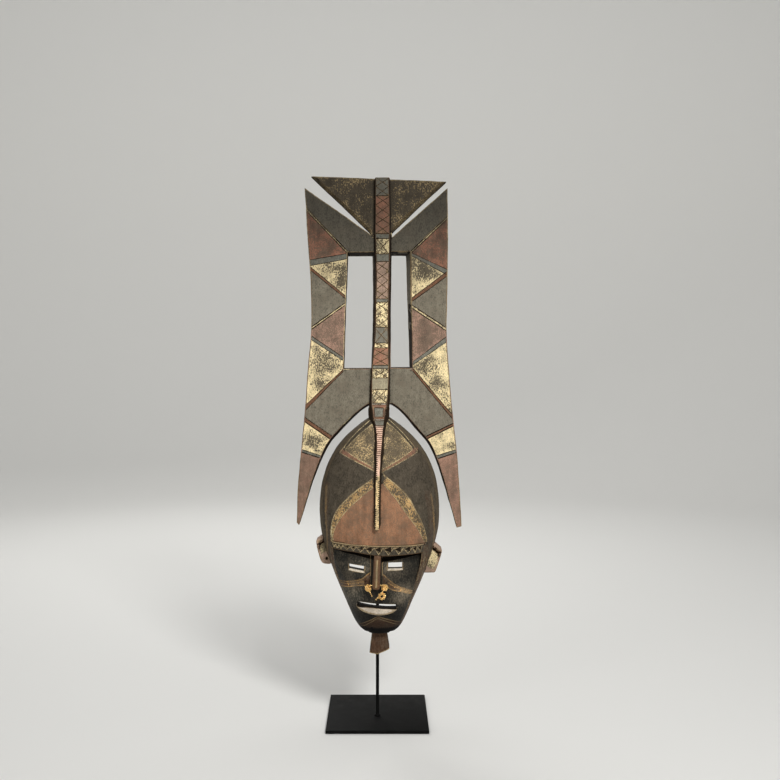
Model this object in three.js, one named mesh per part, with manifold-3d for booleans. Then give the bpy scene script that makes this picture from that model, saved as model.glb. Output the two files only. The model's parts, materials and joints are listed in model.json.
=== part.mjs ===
import * as THREE from 'three';
import { mergeVertices } from 'three/addons/utils/BufferGeometryUtils.js';
import Module from 'manifold-3d';

// A carved plank mask on a rod and plate stand. Millimetres, +Z up, the face looks along -Y and
// the origin is the middle of the plate's underside. Left and right are a viewer's, in front.

const wasm = await Module();
wasm.setup();

// Stand.
const PLATE_SIZE = 185;
const PLATE_THICKNESS = 6;
const PLATE_CHAMFER = 0.8;
const ROD_RADIUS = 3;
const ROD_Y = -18.5;
const ROD_HOLE_CLEARANCE = 0.4;
const COLLAR_RADIUS = 6;
const COLLAR_HEIGHT = 4;
const COLLAR_EDGE = 1.8;
const ROD_FOOT = 0.6;
const ROD_SIDES = 16;
const SADDLE = { width: 40, depth: 26, thickness: 4, front: 6, weld: 1 };
const ARM = { z: 160, radius: 2.5, tongueWidth: 16, tongueHeight: 18, tongueThickness: 3 };
const TOUCH_GAP = 0.3;

// Plank: the flat board that carries the crest, with its front face, top and openings.
const PLANK_FRONT = -25;
const PLANK_THICKNESS = 22;
const PLANK_BACK = PLANK_FRONT + PLANK_THICKNESS;
const HOLE_OVERRUN = 0.1;

// Each side's outline. Widths are measured outwards from the plank's middle line x = 0.
// The cap is the pointed triangle at the top, the notch the wedge of air under it, and the
// edge runs from the arm's tip down to the horn's. The arch is the horn's inner edge. A draft says
// how much each wall of the window leans in towards the back.
const SIDES = {
  left: {
    sign: -1,
    cap: [123, 1006],
    notch: [12, 899],
    notchGap: [1, 1],
    arm: [135, 984],
    edge: [[128.5, 880], [123.5, 800], [123, 720], [128.5, 650], [134, 577], [141.5, 500], [148, 420]],
    horn: [[149.5, 365], [145.5, 360]],
    arch: [[129.7, 409], [116, 450], [93, 503], [66, 536], [36, 566], [13, 582]],
    window: { inner: 2.5, outerTop: 55.5, outerBottom: 63, top: 865.5, bottom: 649.5 },
    draft: { innerTop: 7, innerBottom: 4, outerTop: 0.8, outerBottom: 0.8, top: 6, bottom: 1.5 },
    lines: [
      { name: 'black arm to red', outer: 956, inner: 867, twin: true },
      { name: 'red to grey', outer: 848, inner: 863 },
      { name: 'grey to yellow', outer: 837, inner: 853 },
      { name: 'yellow to band', outer: 851, inner: 784 },
      { name: 'band to black', outer: 844, inner: 779 },
      { name: 'black to red', outer: 714, inner: 772, twin: true },
      { name: 'red to grey, lower', outer: 722, inner: 670 },
      { name: 'grey to yellow, lower', outer: 715, inner: 664 },
      { name: 'yellow to band, lower', outer: 576, inner: 649 },
      { name: 'band to shoulder', outer: 566, inner: 645 },
    ],
    hornLines: [
      { name: 'shoulder to yellow', outer: 572, inner: 523, archX: 82, twin: true },
      { name: 'yellow to red', outer: 504, inner: 488, archX: 101, twin: true },
    ],
  },
  right: {
    sign: 1,
    cap: [127, 996],
    notch: [27, 898],
    notchGap: [4, 5],
    arm: [129.5, 984],
    edge: [[130.5, 870], [129, 777], [128.5, 703], [132.5, 647], [138, 577], [146.5, 500], [152, 425]],
    horn: [[155.5, 358], [146.5, 355.5]],
    arch: [[133.5, 401], [115, 462], [97, 505], [75.5, 532], [42, 570], [25, 582]],
    window: { inner: 24, outerTop: 61.5, outerBottom: 64.5, top: 866.5, bottom: 651 },
    draft: { innerTop: 0.8, innerBottom: 0.8, outerTop: 8.5, outerBottom: 4.5, top: 6, bottom: 1.5 },
    lines: [
      { name: 'black arm to red', outer: 942, inner: 867, twin: true },
      { name: 'red to grey', outer: 828, inner: 864 },
      { name: 'grey to yellow', outer: 817, inner: 859 },
      { name: 'yellow to band', outer: 838, inner: 780 },
      { name: 'band to black', outer: 829, inner: 773 },
      { name: 'black to red', outer: 717, inner: 768, twin: true },
      { name: 'red to grey, lower', outer: 718, inner: 662 },
      { name: 'grey to yellow, lower', outer: 707, inner: 656 },
      { name: 'yellow to band, lower', outer: 563, inner: 652 },
      { name: 'band to shoulder', outer: 555, inner: 646 },
    ],
    hornLines: [
      { name: 'shoulder to yellow', outer: 554.5, inner: 520.5, archX: 82, twin: true },
      { name: 'yellow to red', outer: 502, inner: 486, archX: 101, twin: true },
    ],
  },
};
const GROOVE = { width: 2.4, depth: 1.4, twinGap: 4.5 };
const GROOVE_LIFT = 1;
const ARCH_DRAFT = { tip: 1, neck: 4.5, points: 14, overlap: 16 };
const PLANK_REACH = 140;
const HORN_REACH = 152;
const SPLINE_STEPS = 3;

// Crest and ridge, from the top of the plank to the tip on the forehead: height, middle, half width
// of the front face, half width at the back, front face and back.
const CREST = [
  { z: 1002, x: 8.5, front: 12.5, back: 14, y: -35, rear: 5 },
  { z: 866, x: 9.4, front: 13.2, back: 16.5, y: -35, rear: 6 },
  { z: 777, x: 8.3, front: 13.8, back: 16.5, y: -35, rear: 6 },
  { z: 650, x: 4.6, front: 14.3, back: 17.5, y: -35.5, rear: 7 },
  { z: 588, x: 3.8, front: 13, back: 19, y: -37, rear: 18 },
  { z: 574, x: 2.6, front: 10.8, back: 19.5, y: -45, rear: 30 },
  { z: 560, x: 2.8, front: 9.6, back: 19, y: -56, rear: 34 },
  { z: 545, x: 4.2, front: 7.6, back: 16, y: -70, rear: 30 },
  { z: 521, x: 3.8, front: 5.4, back: 11, y: -90, rear: -20 },
  { z: 486, x: 2.0, front: 4.5, back: 9.5, y: -106.5, rear: -70 },
  { z: 450, x: 0.6, front: 4.2, back: 9, y: -118, rear: -85 },
  { z: 400, x: -0.4, front: 4.3, back: 9, y: -123.5, rear: -95 },
  { z: 373, x: -0.8, front: 4.5, back: 9, y: -125, rear: -98 },
  { z: 368, x: -0.8, front: 3, back: 6, y: -124, rear: -98 },
];
const CREST_SIDE = { slope: 12, foremost: -30, rearShare: 0.7 };

// Carving on the crest's front face: panels from the top down, each with its lower edge.
const CREST_PANELS = [
  { to: 969, motif: 'diamonds', repeats: 2 },
  { to: 904, motif: 'diamonds', repeats: 4 },
  { to: 891, motif: 'plain' },
  { to: 863, motif: 'diamonds', repeats: 1 },
  { to: 847, motif: 'plain' },
  { to: 778, motif: 'diamonds', repeats: 4 },
  { to: 723, motif: 'diamonds', repeats: 3 },
  { to: 698, motif: 'plain' },
  { to: 689, motif: 'diamonds', repeats: 1 },
  { to: 656, motif: 'diamonds', repeats: 1 },
  { to: 650, motif: 'plain' },
  { to: 586, motif: 'diamonds', repeats: 2 },
];
const CREST_TOP = 1002;
const CREST_GROOVE = { width: 1.8, depth: 1 };
const LADDER = { from: 546, to: 374, pitch: 4.3, width: 1.9, depth: 1.3 };
const CUT_OVERLAP = 1;

// Head: horizontal sections from crown to chin. Half width, front, rear and the widest line's y.
const HEAD_X = 3.6;
const HEAD = [
  { z: 568, half: 3, front: -20, rear: -4, widest: -12 },
  { z: 560, half: 18, front: -40, rear: 20, widest: -11 },
  { z: 545, half: 39, front: -60, rear: 42, widest: -10 },
  { z: 520, half: 66.5, front: -80, rear: 68, widest: -10 },
  { z: 490, half: 88, front: -96, rear: 92, widest: -10 },
  { z: 450, half: 104, front: -108, rear: 112, widest: -10 },
  { z: 401, half: 111, front: -114, rear: 124, widest: -10 },
  { z: 349, half: 107.5, front: -116, rear: 126, widest: -14 },
  { z: 300, half: 91.5, front: -114, rear: 112, widest: -26 },
  { z: 262, half: 75.5, front: -110, rear: 92, widest: -38 },
  { z: 222, half: 56.5, front: -106.5, rear: 66, widest: -50 },
  { z: 198, half: 45, front: -101, rear: 40, widest: -55 },
  { z: 184, half: 35, front: -93, rear: 10, widest: -58 },
  { z: 176, half: 22, front: -82, rear: -20, widest: -58 },
  { z: 173, half: 6, front: -68, rear: -52, widest: -60 },
];
const SECTION_POWER = 2.3;
const SECTION_POINTS = 36;
const SECTION_STEPS = 2;
const FAR = 300;

// Hollow behind the face, open to the back and below.
const HOLLOW = [
  { z: 544, half: 25, front: -46, rear: 30, widest: -10 },
  { z: 520, half: 50, front: -64, rear: 56, widest: -10 },
  { z: 480, half: 79, front: -84, rear: 86, widest: -10 },
  { z: 430, half: 95, front: -96, rear: 106, widest: -10 },
  { z: 370, half: 97, front: -99, rear: 130, widest: -12 },
  { z: 325, half: 88, front: -95, rear: 150, widest: -18 },
  { z: 290, half: 76, front: -87, rear: 150, widest: -26 },
  { z: 250, half: 58, front: -85, rear: 150, widest: -36 },
  { z: 215, half: 42, front: -83, rear: 150, widest: -44 },
  { z: 195, half: 27, front: -76, rear: 150, widest: -48 },
  { z: 190, half: 14, front: -66, rear: 150, widest: -50 },
];
const HOLLOW_POINTS = 28;
const RIM = { topY: 72, topZ: 500, bottomY: -40, bottomZ: 173, lowest: 120, highest: 530 };

// Face: the field under the brow, cut back from the head's surface.
const FIELD = {
  top: 320.5,
  left: [[-82, 322], [-79, 300], [-71, 276], [-60, 246], [-48, 214], [-38, 193]],
  right: [[-30, 180], [6, 171], [34, 180], [43, 200], [58, 238], [68, 268], [76, 298], [79, 321]],
  middleY: -104,
  middleX: -1.5,
  curveRadius: 125,
  halfWidth: 100,
  columns: 9,
  levels: [[340, 0], [240, 0], [215, -2], [165, 9]],
};
const BROW = { bottom: 320.5, top: 340, left: -84, right: 86, proud: 3.2 };
const ZIGZAG = { count: 17, depth: 1.8, margin: 12, border: 3.5, bar: 1 };
const BROW_BACK = -20;
const NOSE = {
  x: -1.6,
  half: 6.6,
  round: 7,
  back: -92,
  arcPoints: 7,
  levels: [
    { z: 326, front: -121, inset: 0 },
    { z: 268.5, front: -124, inset: 0 },
    { z: 263.5, front: -121.5, inset: 1.2 },
  ],
};
const NOSE_HOLE = { y: -116, z: 270.5, radius: 2.9, length: 40, reach: [-12, -8, 0, 8, 12] };
const HOLE_SIDES = 10;
const SLOT = { front: -140, throat: -84, back: -55 };
const EYES = [
  { left: -50, right: -24, topLeft: 304, topRight: 300.8, height: 8.6 },
  { left: 19.3, right: 44.5, topLeft: 307.6, topRight: 307, height: 11.2 },
];
const EYE_SILL = { drop: 18, spread: 4 };
const MOUTH_SILL = { drop: 0, spread: 2 };
const MOUTH = { left: -35, right: 33, topLeft: 238.5, topRight: 232.5, height: 8 };
const LIP = { drop: 14.5, proud: 6, thickness: 18, arcPoints: 8, overlap: 4, bevel: 4.5, top: 250 };

// Ears: left and right outlines, roofed recess and piercing.
const EARS = [
  {
    outline: [[-92, 349], [-98, 346.5], [-111.5, 336], [-107.5, 314], [-103.5, 301], [-97, 294], [-78, 295]],
    recess: [[-108, 332], [-92, 332], [-92, 321], [-105.5, 321]],
    hole: [-92, 304],
  },
  {
    outline: [[100, 335], [104, 332], [118, 319.5], [112, 296], [104.5, 277.5], [80, 277.5], [84, 300]],
    recess: [[103, 325], [114.5, 317], [111.5, 306], [103, 306]],
    hole: null,
  },
];
const EAR = { front: -50, back: -20, recessDepth: 9, holeRadius: 2.8, holeLength: 80 };

// Grip under the chin, wider at its slanted lower end.
const GRIP = { front: -76, back: -46, topZ: 186, topLeft: -8, topRight: 15, left: -14, right: 22 };
const GRIP_FOOT = { leftZ: 138, middleX: 0, middleZ: 136, rightZ: 145 };

// Bead string: beads threaded one after another along a path that starts at the left tail.
// Each coil is two turns about a middle; a turn starts and sweeps in parts of a full circle.
const BEAD_RADIUS = 2;
const COIL_POINTS = 12;
const BEAD_STEP = 2.7;
const COILS = {
  left: {
    middle: [-18.2, -112, 268],
    turns: [{ radius: 2.6, start: -0.25, sweep: 0.9 }, { radius: 5.8, start: 0.75, sweep: -0.9 }],
  },
  right: {
    middle: [14.6, -112, 267],
    turns: [{ radius: 5.8, start: 0.45, sweep: -0.95 }, { radius: 2.6, start: 0.4, sweep: -0.9 }],
  },
  lower: {
    middle: [9.5, -115, 251.5],
    turns: [{ radius: 6.2, start: 0.25, sweep: -0.95 }, { radius: 2.8, start: 0.2, sweep: -0.7 }],
  },
};
const TAILS = { left: [-8.5, -114, 252], right: [-0.8, -116, 247] };

function finish(color, roughness, metalness) {
  return new THREE.MeshStandardMaterial({ color, roughness, metalness });
}

function closedGeometry(positions, indices) {
  const geometry = new THREE.BufferGeometry();
  geometry.setAttribute('position', new THREE.Float32BufferAttribute(positions, 3));
  geometry.setIndex(indices);
  return geometry;
}

function toSolid(source) {
  const bare = source.clone();
  bare.deleteAttribute('normal');
  bare.deleteAttribute('uv');
  const merged = mergeVertices(bare, 1e-4);
  const vertProperties = new Float32Array(merged.attributes.position.array);
  const triVerts = new Uint32Array(merged.index.array);
  return new wasm.Manifold(new wasm.Mesh({ numProp: 3, vertProperties, triVerts }));
}

function toGeometry(solid) {
  const mesh = solid.getMesh();
  return closedGeometry(Array.from(mesh.vertProperties), Array.from(mesh.triVerts));
}

// Skin over rings of equal length, closed by a fan at each end.
function loft(rings) {
  const count = rings[0].length;
  const points = rings.flat();
  const indices = [];
  for (let r = 0; r < rings.length - 1; r++) {
    for (let i = 0; i < count; i++) {
      const a = r * count + i;
      const b = r * count + ((i + 1) % count);
      indices.push(a, b, b + count, a, b + count, a + count);
    }
  }
  const last = rings.length - 1;
  for (const [ring, start, flip] of [[rings[0], 0, true], [rings[last], last * count, false]]) {
    const centre = ring.reduce((sum, p) => sum.add(p), new THREE.Vector3()).divideScalar(count);
    const hub = points.push(centre) - 1;
    for (let i = 0; i < count; i++) {
      const a = start + i;
      const b = start + ((i + 1) % count);
      indices.push(...(flip ? [hub, b, a] : [hub, a, b]));
    }
  }
  return outward(closedGeometry(points.flatMap((p) => [p.x, p.y, p.z]), indices));
}

// Turns a closed skin's faces out where its signed volume says they point in.
function outward(geometry) {
  const { position } = geometry.attributes;
  const index = geometry.index.array;
  const corners = [new THREE.Vector3(), new THREE.Vector3(), new THREE.Vector3()];
  let volume = 0;
  for (let i = 0; i < index.length; i += 3) {
    corners.forEach((corner, k) => corner.fromBufferAttribute(position, index[i + k]));
    volume += corners[0].dot(corners[1].cross(corners[2]));
  }
  if (volume < 0) {
    geometry.setIndex(Array.from(index).reverse());
  }
  return geometry;
}

// A front-view outline pushed through from one y to another.
function slab(outline, fromY, toY) {
  const shape = outline instanceof THREE.Shape
    ? outline
    : new THREE.Shape(outline.map(([x, z]) => new THREE.Vector2(x, z)));
  const options = { depth: toY - fromY, bevelEnabled: false, curveSegments: SPLINE_STEPS };
  const geometry = new THREE.ExtrudeGeometry(shape, options);
  geometry.rotateX(Math.PI / 2);
  geometry.translate(0, toY, 0);
  return toSolid(geometry);
}

// A hole whose front and back outlines differ, run on past both faces.
function draftedHole(frontOutline, backOutline) {
  const at = (t) => frontOutline.map(([x, z], i) => {
    const [bx, bz] = backOutline[i];
    return new THREE.Vector3(x + (bx - x) * t, PLANK_FRONT + PLANK_THICKNESS * t, z + (bz - z) * t);
  });
  return toSolid(loft([at(-HOLE_OVERRUN), at(1 + HOLE_OVERRUN)]));
}

// A V-shaped cut along a line on a face that looks along -Y, from one [x, face, z] to another.
function groove(from, to, { width, depth }) {
  const along = new THREE.Vector2(to[0] - from[0], to[2] - from[2]).normalize();
  const side = [-along.y, along.x];
  const open = (width / 2) * (1 + GROOVE_LIFT / depth);
  const ring = ([x, face, z]) => [
    new THREE.Vector3(x + side[0] * open, face - GROOVE_LIFT, z + side[1] * open),
    new THREE.Vector3(x - side[0] * open, face - GROOVE_LIFT, z - side[1] * open),
    new THREE.Vector3(x, face + depth, z),
  ];
  return toSolid(loft([ring(from), ring(to)]));
}

function union(solids) {
  return solids.reduce((sum, solid) => sum.add(solid));
}

// Smooth reading of a list of stations: the fields at any step between the first and the last.
function readStations(stations, fields, steps) {
  const rows = [];
  const total = (stations.length - 1) * steps;
  const pairs = fields.map((field) => new THREE.CatmullRomCurve3(
    stations.map((station) => new THREE.Vector3(station[field], 0, station.z)), false, 'catmullrom', 0.5,
  ));
  for (let i = 0; i <= total; i++) {
    const points = pairs.map((curve) => curve.getPoint(i / total));
    const row = { z: points[0].z };
    fields.forEach((field, k) => { row[field] = points[k].x; });
    rows.push(row);
  }
  return rows;
}

function ovalRing(row, centreX, grow, count) {
  return Array.from({ length: count }, (_, i) => {
    const angle = (2 * Math.PI * i) / count;
    const c = Math.cos(angle);
    const s = Math.sin(angle);
    const reach = s > 0 ? row.rear - row.widest : row.widest - row.front;
    const x = Math.sign(c) * Math.abs(c) ** (2 / SECTION_POWER) * (row.half + grow);
    const y = Math.sign(s) * Math.abs(s) ** (2 / SECTION_POWER) * (reach + grow);
    return new THREE.Vector3(centreX + x, row.widest + y, row.z);
  });
}

function headSolid(grow) {
  const rows = readStations(HEAD, ['half', 'front', 'rear', 'widest'], SECTION_STEPS);
  return toSolid(loft(rows.map((row) => ovalRing(row, HEAD_X, grow, SECTION_POINTS))));
}

function hollowSolid() {
  const rows = readStations(HOLLOW, ['half', 'front', 'rear', 'widest'], 1);
  return toSolid(loft(rows.map((row) => ovalRing(row, HEAD_X, 0, HOLLOW_POINTS))));
}

// Everything behind the slanting rim.
function behindRim() {
  const slope = (RIM.topY - RIM.bottomY) / (RIM.topZ - RIM.bottomZ);
  const yAt = (z) => RIM.bottomY + (z - RIM.bottomZ) * slope;
  const ring = (x) => [
    new THREE.Vector3(x, yAt(RIM.lowest), RIM.lowest),
    new THREE.Vector3(x, FAR, RIM.lowest),
    new THREE.Vector3(x, FAR, RIM.highest),
    new THREE.Vector3(x, yAt(RIM.highest), RIM.highest),
  ];
  return toSolid(loft([ring(-FAR), ring(FAR)]));
}

// Plank.
function sidePoints(side) {
  const out = ([x, z]) => new THREE.Vector2(side.sign * x, z);
  return {
    cap: out(side.cap),
    notchTop: out([side.notch[0], side.notch[1] + side.notchGap[0]]),
    notchFoot: out([side.notch[0], side.notch[1] - side.notchGap[1]]),
    arm: out(side.arm),
    edge: side.edge.map(out),
    horn: side.horn.map(out),
    arch: side.arch.map(out),
  };
}

function plankShape() {
  const left = sidePoints(SIDES.left);
  const right = sidePoints(SIDES.right);
  const shape = new THREE.Shape();
  shape.moveTo(left.cap.x, left.cap.y);
  shape.lineTo(left.notchTop.x, left.notchTop.y);
  shape.lineTo(left.notchFoot.x, left.notchFoot.y);
  shape.lineTo(left.arm.x, left.arm.y);
  shape.splineThru([...left.edge, left.horn[0]]);
  shape.lineTo(left.horn[1].x, left.horn[1].y);
  shape.splineThru(left.arch);
  shape.lineTo(right.arch.at(-1).x, right.arch.at(-1).y);
  shape.splineThru([...right.arch].reverse().slice(1));
  shape.lineTo(right.horn[1].x, right.horn[1].y);
  shape.lineTo(right.horn[0].x, right.horn[0].y);
  shape.splineThru([...right.edge].reverse());
  shape.lineTo(right.arm.x, right.arm.y);
  shape.lineTo(right.notchFoot.x, right.notchFoot.y);
  shape.lineTo(right.notchTop.x, right.notchTop.y);
  shape.lineTo(right.cap.x, right.cap.y);
  return shape;
}

function windowHole({ sign, window: w, draft }) {
  const corners = (lean) => [
    [sign * (w.inner + lean * draft.innerTop), w.top - lean * draft.top],
    [sign * (w.outerTop - lean * draft.outerTop), w.top - lean * draft.top],
    [sign * (w.outerBottom - lean * draft.outerBottom), w.bottom + lean * draft.bottom],
    [sign * (w.inner + lean * draft.innerBottom), w.bottom + lean * draft.bottom],
  ];
  return draftedHole(corners(0), corners(1));
}

// The sloping wall of the arch: the gap beside the head widens towards the front.
function archDraft({ sign, arch }) {
  const curve = new THREE.SplineCurve(arch.map(([x, z]) => new THREE.Vector2(x, z)));
  const outline = (lean) => {
    const points = Array.from({ length: ARCH_DRAFT.points + 1 }, (_, i) => {
      const t = i / ARCH_DRAFT.points;
      const at = curve.getPoint(t);
      const along = curve.getTangent(t);
      const reach = THREE.MathUtils.lerp(ARCH_DRAFT.tip, ARCH_DRAFT.neck, Math.min(1, 2 * t));
      const shift = lean * reach - (1 - lean) * TOUCH_GAP;
      return [sign * (at.x + along.y * shift), at.y - along.x * shift];
    });
    const [x, z] = points.at(-1);
    return [...points, [x - sign * ARCH_DRAFT.overlap, z]];
  };
  return draftedHole(outline(1), outline(0));
}

function plankGrooves(side) {
  const cuts = [];
  const windowEdge = (z) => {
    const { outerTop, outerBottom, top, bottom } = side.window;
    return outerTop + ((outerBottom - outerTop) * (top - z)) / (top - bottom);
  };
  const add = (outerX, outer, innerX, inner, twin) => {
    for (const drop of twin ? [0, GROOVE.twinGap] : [0]) {
      const from = [side.sign * outerX, PLANK_FRONT, outer - drop];
      const to = [side.sign * innerX, PLANK_FRONT, inner - drop];
      cuts.push(groove(from, to, GROOVE));
    }
  };
  for (const { outer, inner, twin } of side.lines) {
    add(PLANK_REACH, outer, windowEdge(inner), inner, twin);
  }
  for (const { outer, inner, archX, twin } of side.hornLines) {
    add(HORN_REACH, outer, archX, inner, twin);
  }
  return cuts;
}

// Crest.
function crestSolid() {
  const rings = CREST.map(({ z, x, front, back, y, rear }) => {
    const slope = y + CREST_SIDE.slope;
    const waist = rear > PLANK_BACK ? Math.max(slope, CREST_SIDE.foremost) : slope;
    const narrow = back * CREST_SIDE.rearShare;
    return [
      new THREE.Vector3(x - front, y, z),
      new THREE.Vector3(x + front, y, z),
      new THREE.Vector3(x + back, waist, z),
      new THREE.Vector3(x + narrow, rear, z),
      new THREE.Vector3(x - narrow, rear, z),
      new THREE.Vector3(x - back, waist, z),
    ];
  });
  return toSolid(loft(rings));
}

function crestAt(z) {
  const next = CREST.findIndex((station) => station.z <= z);
  const low = CREST[Math.max(next, 1)];
  const high = CREST[Math.max(next, 1) - 1];
  const t = (high.z - z) / (high.z - low.z);
  const mix = (field) => high[field] + (low[field] - high[field]) * t;
  return { x: mix('x'), front: mix('front'), y: mix('y') };
}

function crestGrooves() {
  const cuts = [];
  const cut = (x0, z0, x1, z1) => {
    cuts.push(groove([x0, crestAt(z0).y, z0], [x1, crestAt(z1).y, z1], CREST_GROOVE));
  };
  let top = CREST_TOP;
  for (const { to, motif, repeats } of CREST_PANELS) {
    const { x, front } = crestAt(to);
    cut(x - front - CUT_OVERLAP, to, x + front + CUT_OVERLAP, to);
    if (motif === 'diamonds') {
      const step = (top - to) / repeats;
      for (let i = 0; i < repeats; i++) {
        const high = top - i * step;
        const here = crestAt(high - step / 2);
        cut(here.x - here.front, high, here.x + here.front, high - step);
        cut(here.x + here.front, high, here.x - here.front, high - step);
      }
    }
    top = to;
  }
  return cuts;
}

function ladderNotches() {
  const cuts = [];
  for (let z = LADDER.from; z > LADDER.to; z -= LADDER.pitch) {
    const { x, front, y } = crestAt(z);
    cuts.push(groove([x - front - CUT_OVERLAP, y, z], [x + front + CUT_OVERLAP, y, z], LADDER));
  }
  return cuts;
}

// Face.
function fieldSolid() {
  const outline = [[FIELD.left[0][0], FIELD.top], ...FIELD.left.slice(1), ...FIELD.right.slice(0, -1)];
  outline.push([FIELD.right.at(-1)[0], FIELD.top]);
  const rings = [];
  for (let i = 0; i <= FIELD.columns; i++) {
    const x = FIELD.halfWidth * ((2 * i) / FIELD.columns - 1);
    const floor = FIELD.middleY + (x - FIELD.middleX) ** 2 / (2 * FIELD.curveRadius);
    rings.push([
      new THREE.Vector3(x, -FAR, FIELD.levels[0][0]),
      ...FIELD.levels.map(([z, drop]) => new THREE.Vector3(x, floor + drop, z)),
      new THREE.Vector3(x, -FAR, FIELD.levels.at(-1)[0]),
    ]);
  }
  return slab(outline, -FAR, 0).intersect(toSolid(loft(rings)));
}

function browSolid() {
  const { left, right, bottom, top } = BROW;
  const outline = [[left, bottom], [right, bottom], [right, top], [left, top]];
  return slab(outline, -FAR, BROW_BACK).intersect(headSolid(BROW.proud));
}

// Row of triangles sunk into the brow, each with its point down.
function zigzagCuts() {
  const { count, depth, margin, border, bar } = ZIGZAG;
  const skin = headSolid(BROW.proud - depth);
  const pitch = (BROW.right - BROW.left - 2 * margin) / count;
  const high = BROW.top - border;
  const triangles = [];
  for (let i = 0; i < count; i++) {
    const x = BROW.left + margin + pitch * i;
    const tip = [x + pitch / 2, BROW.bottom + border];
    triangles.push(slab([[x + bar, high], tip, [x + pitch - bar, high]], -FAR, BROW_BACK));
  }
  return union(triangles).subtract(skin);
}

function noseSolid() {
  const ring = ({ z, front, inset }) => {
    const half = NOSE.half - inset;
    const points = [];
    for (let i = 0; i <= NOSE.arcPoints; i++) {
      const angle = Math.PI * (i / NOSE.arcPoints);
      const y = front + NOSE.round * (1 - Math.sin(angle));
      points.push(new THREE.Vector3(NOSE.x - half * Math.cos(angle), y, z));
    }
    points.push(new THREE.Vector3(NOSE.x + half, NOSE.back, z));
    points.push(new THREE.Vector3(NOSE.x - half, NOSE.back, z));
    return points;
  };
  return toSolid(loft(NOSE.levels.map(ring)));
}

function noseHole() {
  const hole = new THREE.CylinderGeometry(NOSE_HOLE.radius, NOSE_HOLE.radius, NOSE_HOLE.length, HOLE_SIDES);
  hole.rotateZ(Math.PI / 2);
  hole.translate(NOSE.x, NOSE_HOLE.y, NOSE_HOLE.z);
  return toSolid(hole);
}

// A slot that widens downwards to the front, so that its lower edge is a sloping sill.
function sillSlot({ left, right, topLeft, topRight, height }, { drop, spread }) {
  const at = (y, open) => [
    new THREE.Vector3(left - spread * open, y, topLeft),
    new THREE.Vector3(right + spread * open, y, topRight),
    new THREE.Vector3(right + spread * open, y, topRight - height - drop * open),
    new THREE.Vector3(left - spread * open, y, topLeft - height - drop * open),
  ];
  return toSolid(loft([at(SLOT.front, 1), at(SLOT.throat, 0), at(SLOT.back, 0)]));
}

function lipSolid() {
  const { left, right, topLeft, topRight, height } = MOUTH;
  const cornerLeft = topLeft - height;
  const cornerRight = topRight - height;
  const lower = [];
  for (let i = 0; i <= LIP.arcPoints; i++) {
    const t = i / LIP.arcPoints;
    const chord = THREE.MathUtils.lerp(cornerRight, cornerLeft, t);
    lower.push([THREE.MathUtils.lerp(right, left, t), chord - LIP.drop * Math.sin(Math.PI * t)]);
  }
  const face = FIELD.middleY - LIP.proud;
  const outline = [[left, cornerLeft + LIP.overlap], [right, cornerRight + LIP.overlap], ...lower];
  const block = slab(outline, face, face + LIP.thickness);
  const lowest = cornerRight - LIP.drop - CUT_OVERLAP;
  const bevel = loft([left - LIP.overlap, right + LIP.overlap].map((x) => [
    new THREE.Vector3(x, -FAR, LIP.top),
    new THREE.Vector3(x, face + LIP.bevel, LIP.top),
    new THREE.Vector3(x, face + LIP.bevel, cornerRight + CUT_OVERLAP),
    new THREE.Vector3(x, face - CUT_OVERLAP, lowest),
    new THREE.Vector3(x, -FAR, lowest),
  ]));
  return block.subtract(toSolid(bevel));
}

// Ears and grip.
function earSolid({ outline, recess, hole }) {
  let ear = slab(outline, EAR.front, EAR.back);
  ear = ear.subtract(slab(recess, EAR.front - CUT_OVERLAP, EAR.front + EAR.recessDepth));
  if (hole) {
    const bore = new THREE.CylinderGeometry(EAR.holeRadius, EAR.holeRadius, EAR.holeLength, HOLE_SIDES);
    bore.translate(hole[0], (EAR.front + EAR.back) / 2, hole[1]);
    ear = ear.subtract(toSolid(bore));
  }
  return ear;
}

function gripSolid() {
  const { front, back, topZ, topLeft, topRight, left, right } = GRIP;
  const { leftZ, middleX, middleZ, rightZ } = GRIP_FOOT;
  const outline = [[topLeft, topZ], [left, leftZ], [middleX, middleZ], [right, rightZ], [topRight, topZ]];
  return slab(outline, front, back);
}

function maskGeometry() {
  const plank = slab(plankShape(), PLANK_FRONT, PLANK_BACK);
  const sides = Object.values(SIDES);
  const board = plank.subtract(union([
    ...sides.map(windowHole),
    ...sides.map(archDraft),
    ...sides.flatMap(plankGrooves),
  ]));
  const crest = crestSolid().subtract(union([...crestGrooves(), ...ladderNotches()]));
  const skull = headSolid(0).add(browSolid().subtract(zigzagCuts())).subtract(fieldSolid());
  const head = skull.add(noseSolid()).add(lipSolid()).add(gripSolid()).subtract(behindRim());
  const block = union([head, board, crest, ...EARS.map(earSolid)]);
  const slots = union([...EYES.map((eye) => sillSlot(eye, EYE_SILL)), sillSlot(MOUTH, MOUTH_SILL)]);
  return toGeometry(block.subtract(hollowSolid()).subtract(slots).subtract(noseHole()));
}

// Beads.
function beadPath() {
  const points = [new THREE.Vector3(...TAILS.left)];
  const coil = ({ middle: [x, y, z], turns }) => {
    for (const { radius, start, sweep } of turns) {
      const steps = Math.ceil(Math.abs(sweep) * COIL_POINTS);
      for (let i = 0; i <= steps; i++) {
        const angle = 2 * Math.PI * (start + (sweep * i) / steps);
        points.push(new THREE.Vector3(x + radius * Math.cos(angle), y, z + radius * Math.sin(angle)));
      }
    }
  };
  coil(COILS.left);
  for (const reach of NOSE_HOLE.reach) {
    points.push(new THREE.Vector3(NOSE.x + reach, NOSE_HOLE.y, NOSE_HOLE.z));
  }
  coil(COILS.right);
  coil(COILS.lower);
  points.push(new THREE.Vector3(...TAILS.right));
  return new THREE.CatmullRomCurve3(points, false, 'centripetal');
}

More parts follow.
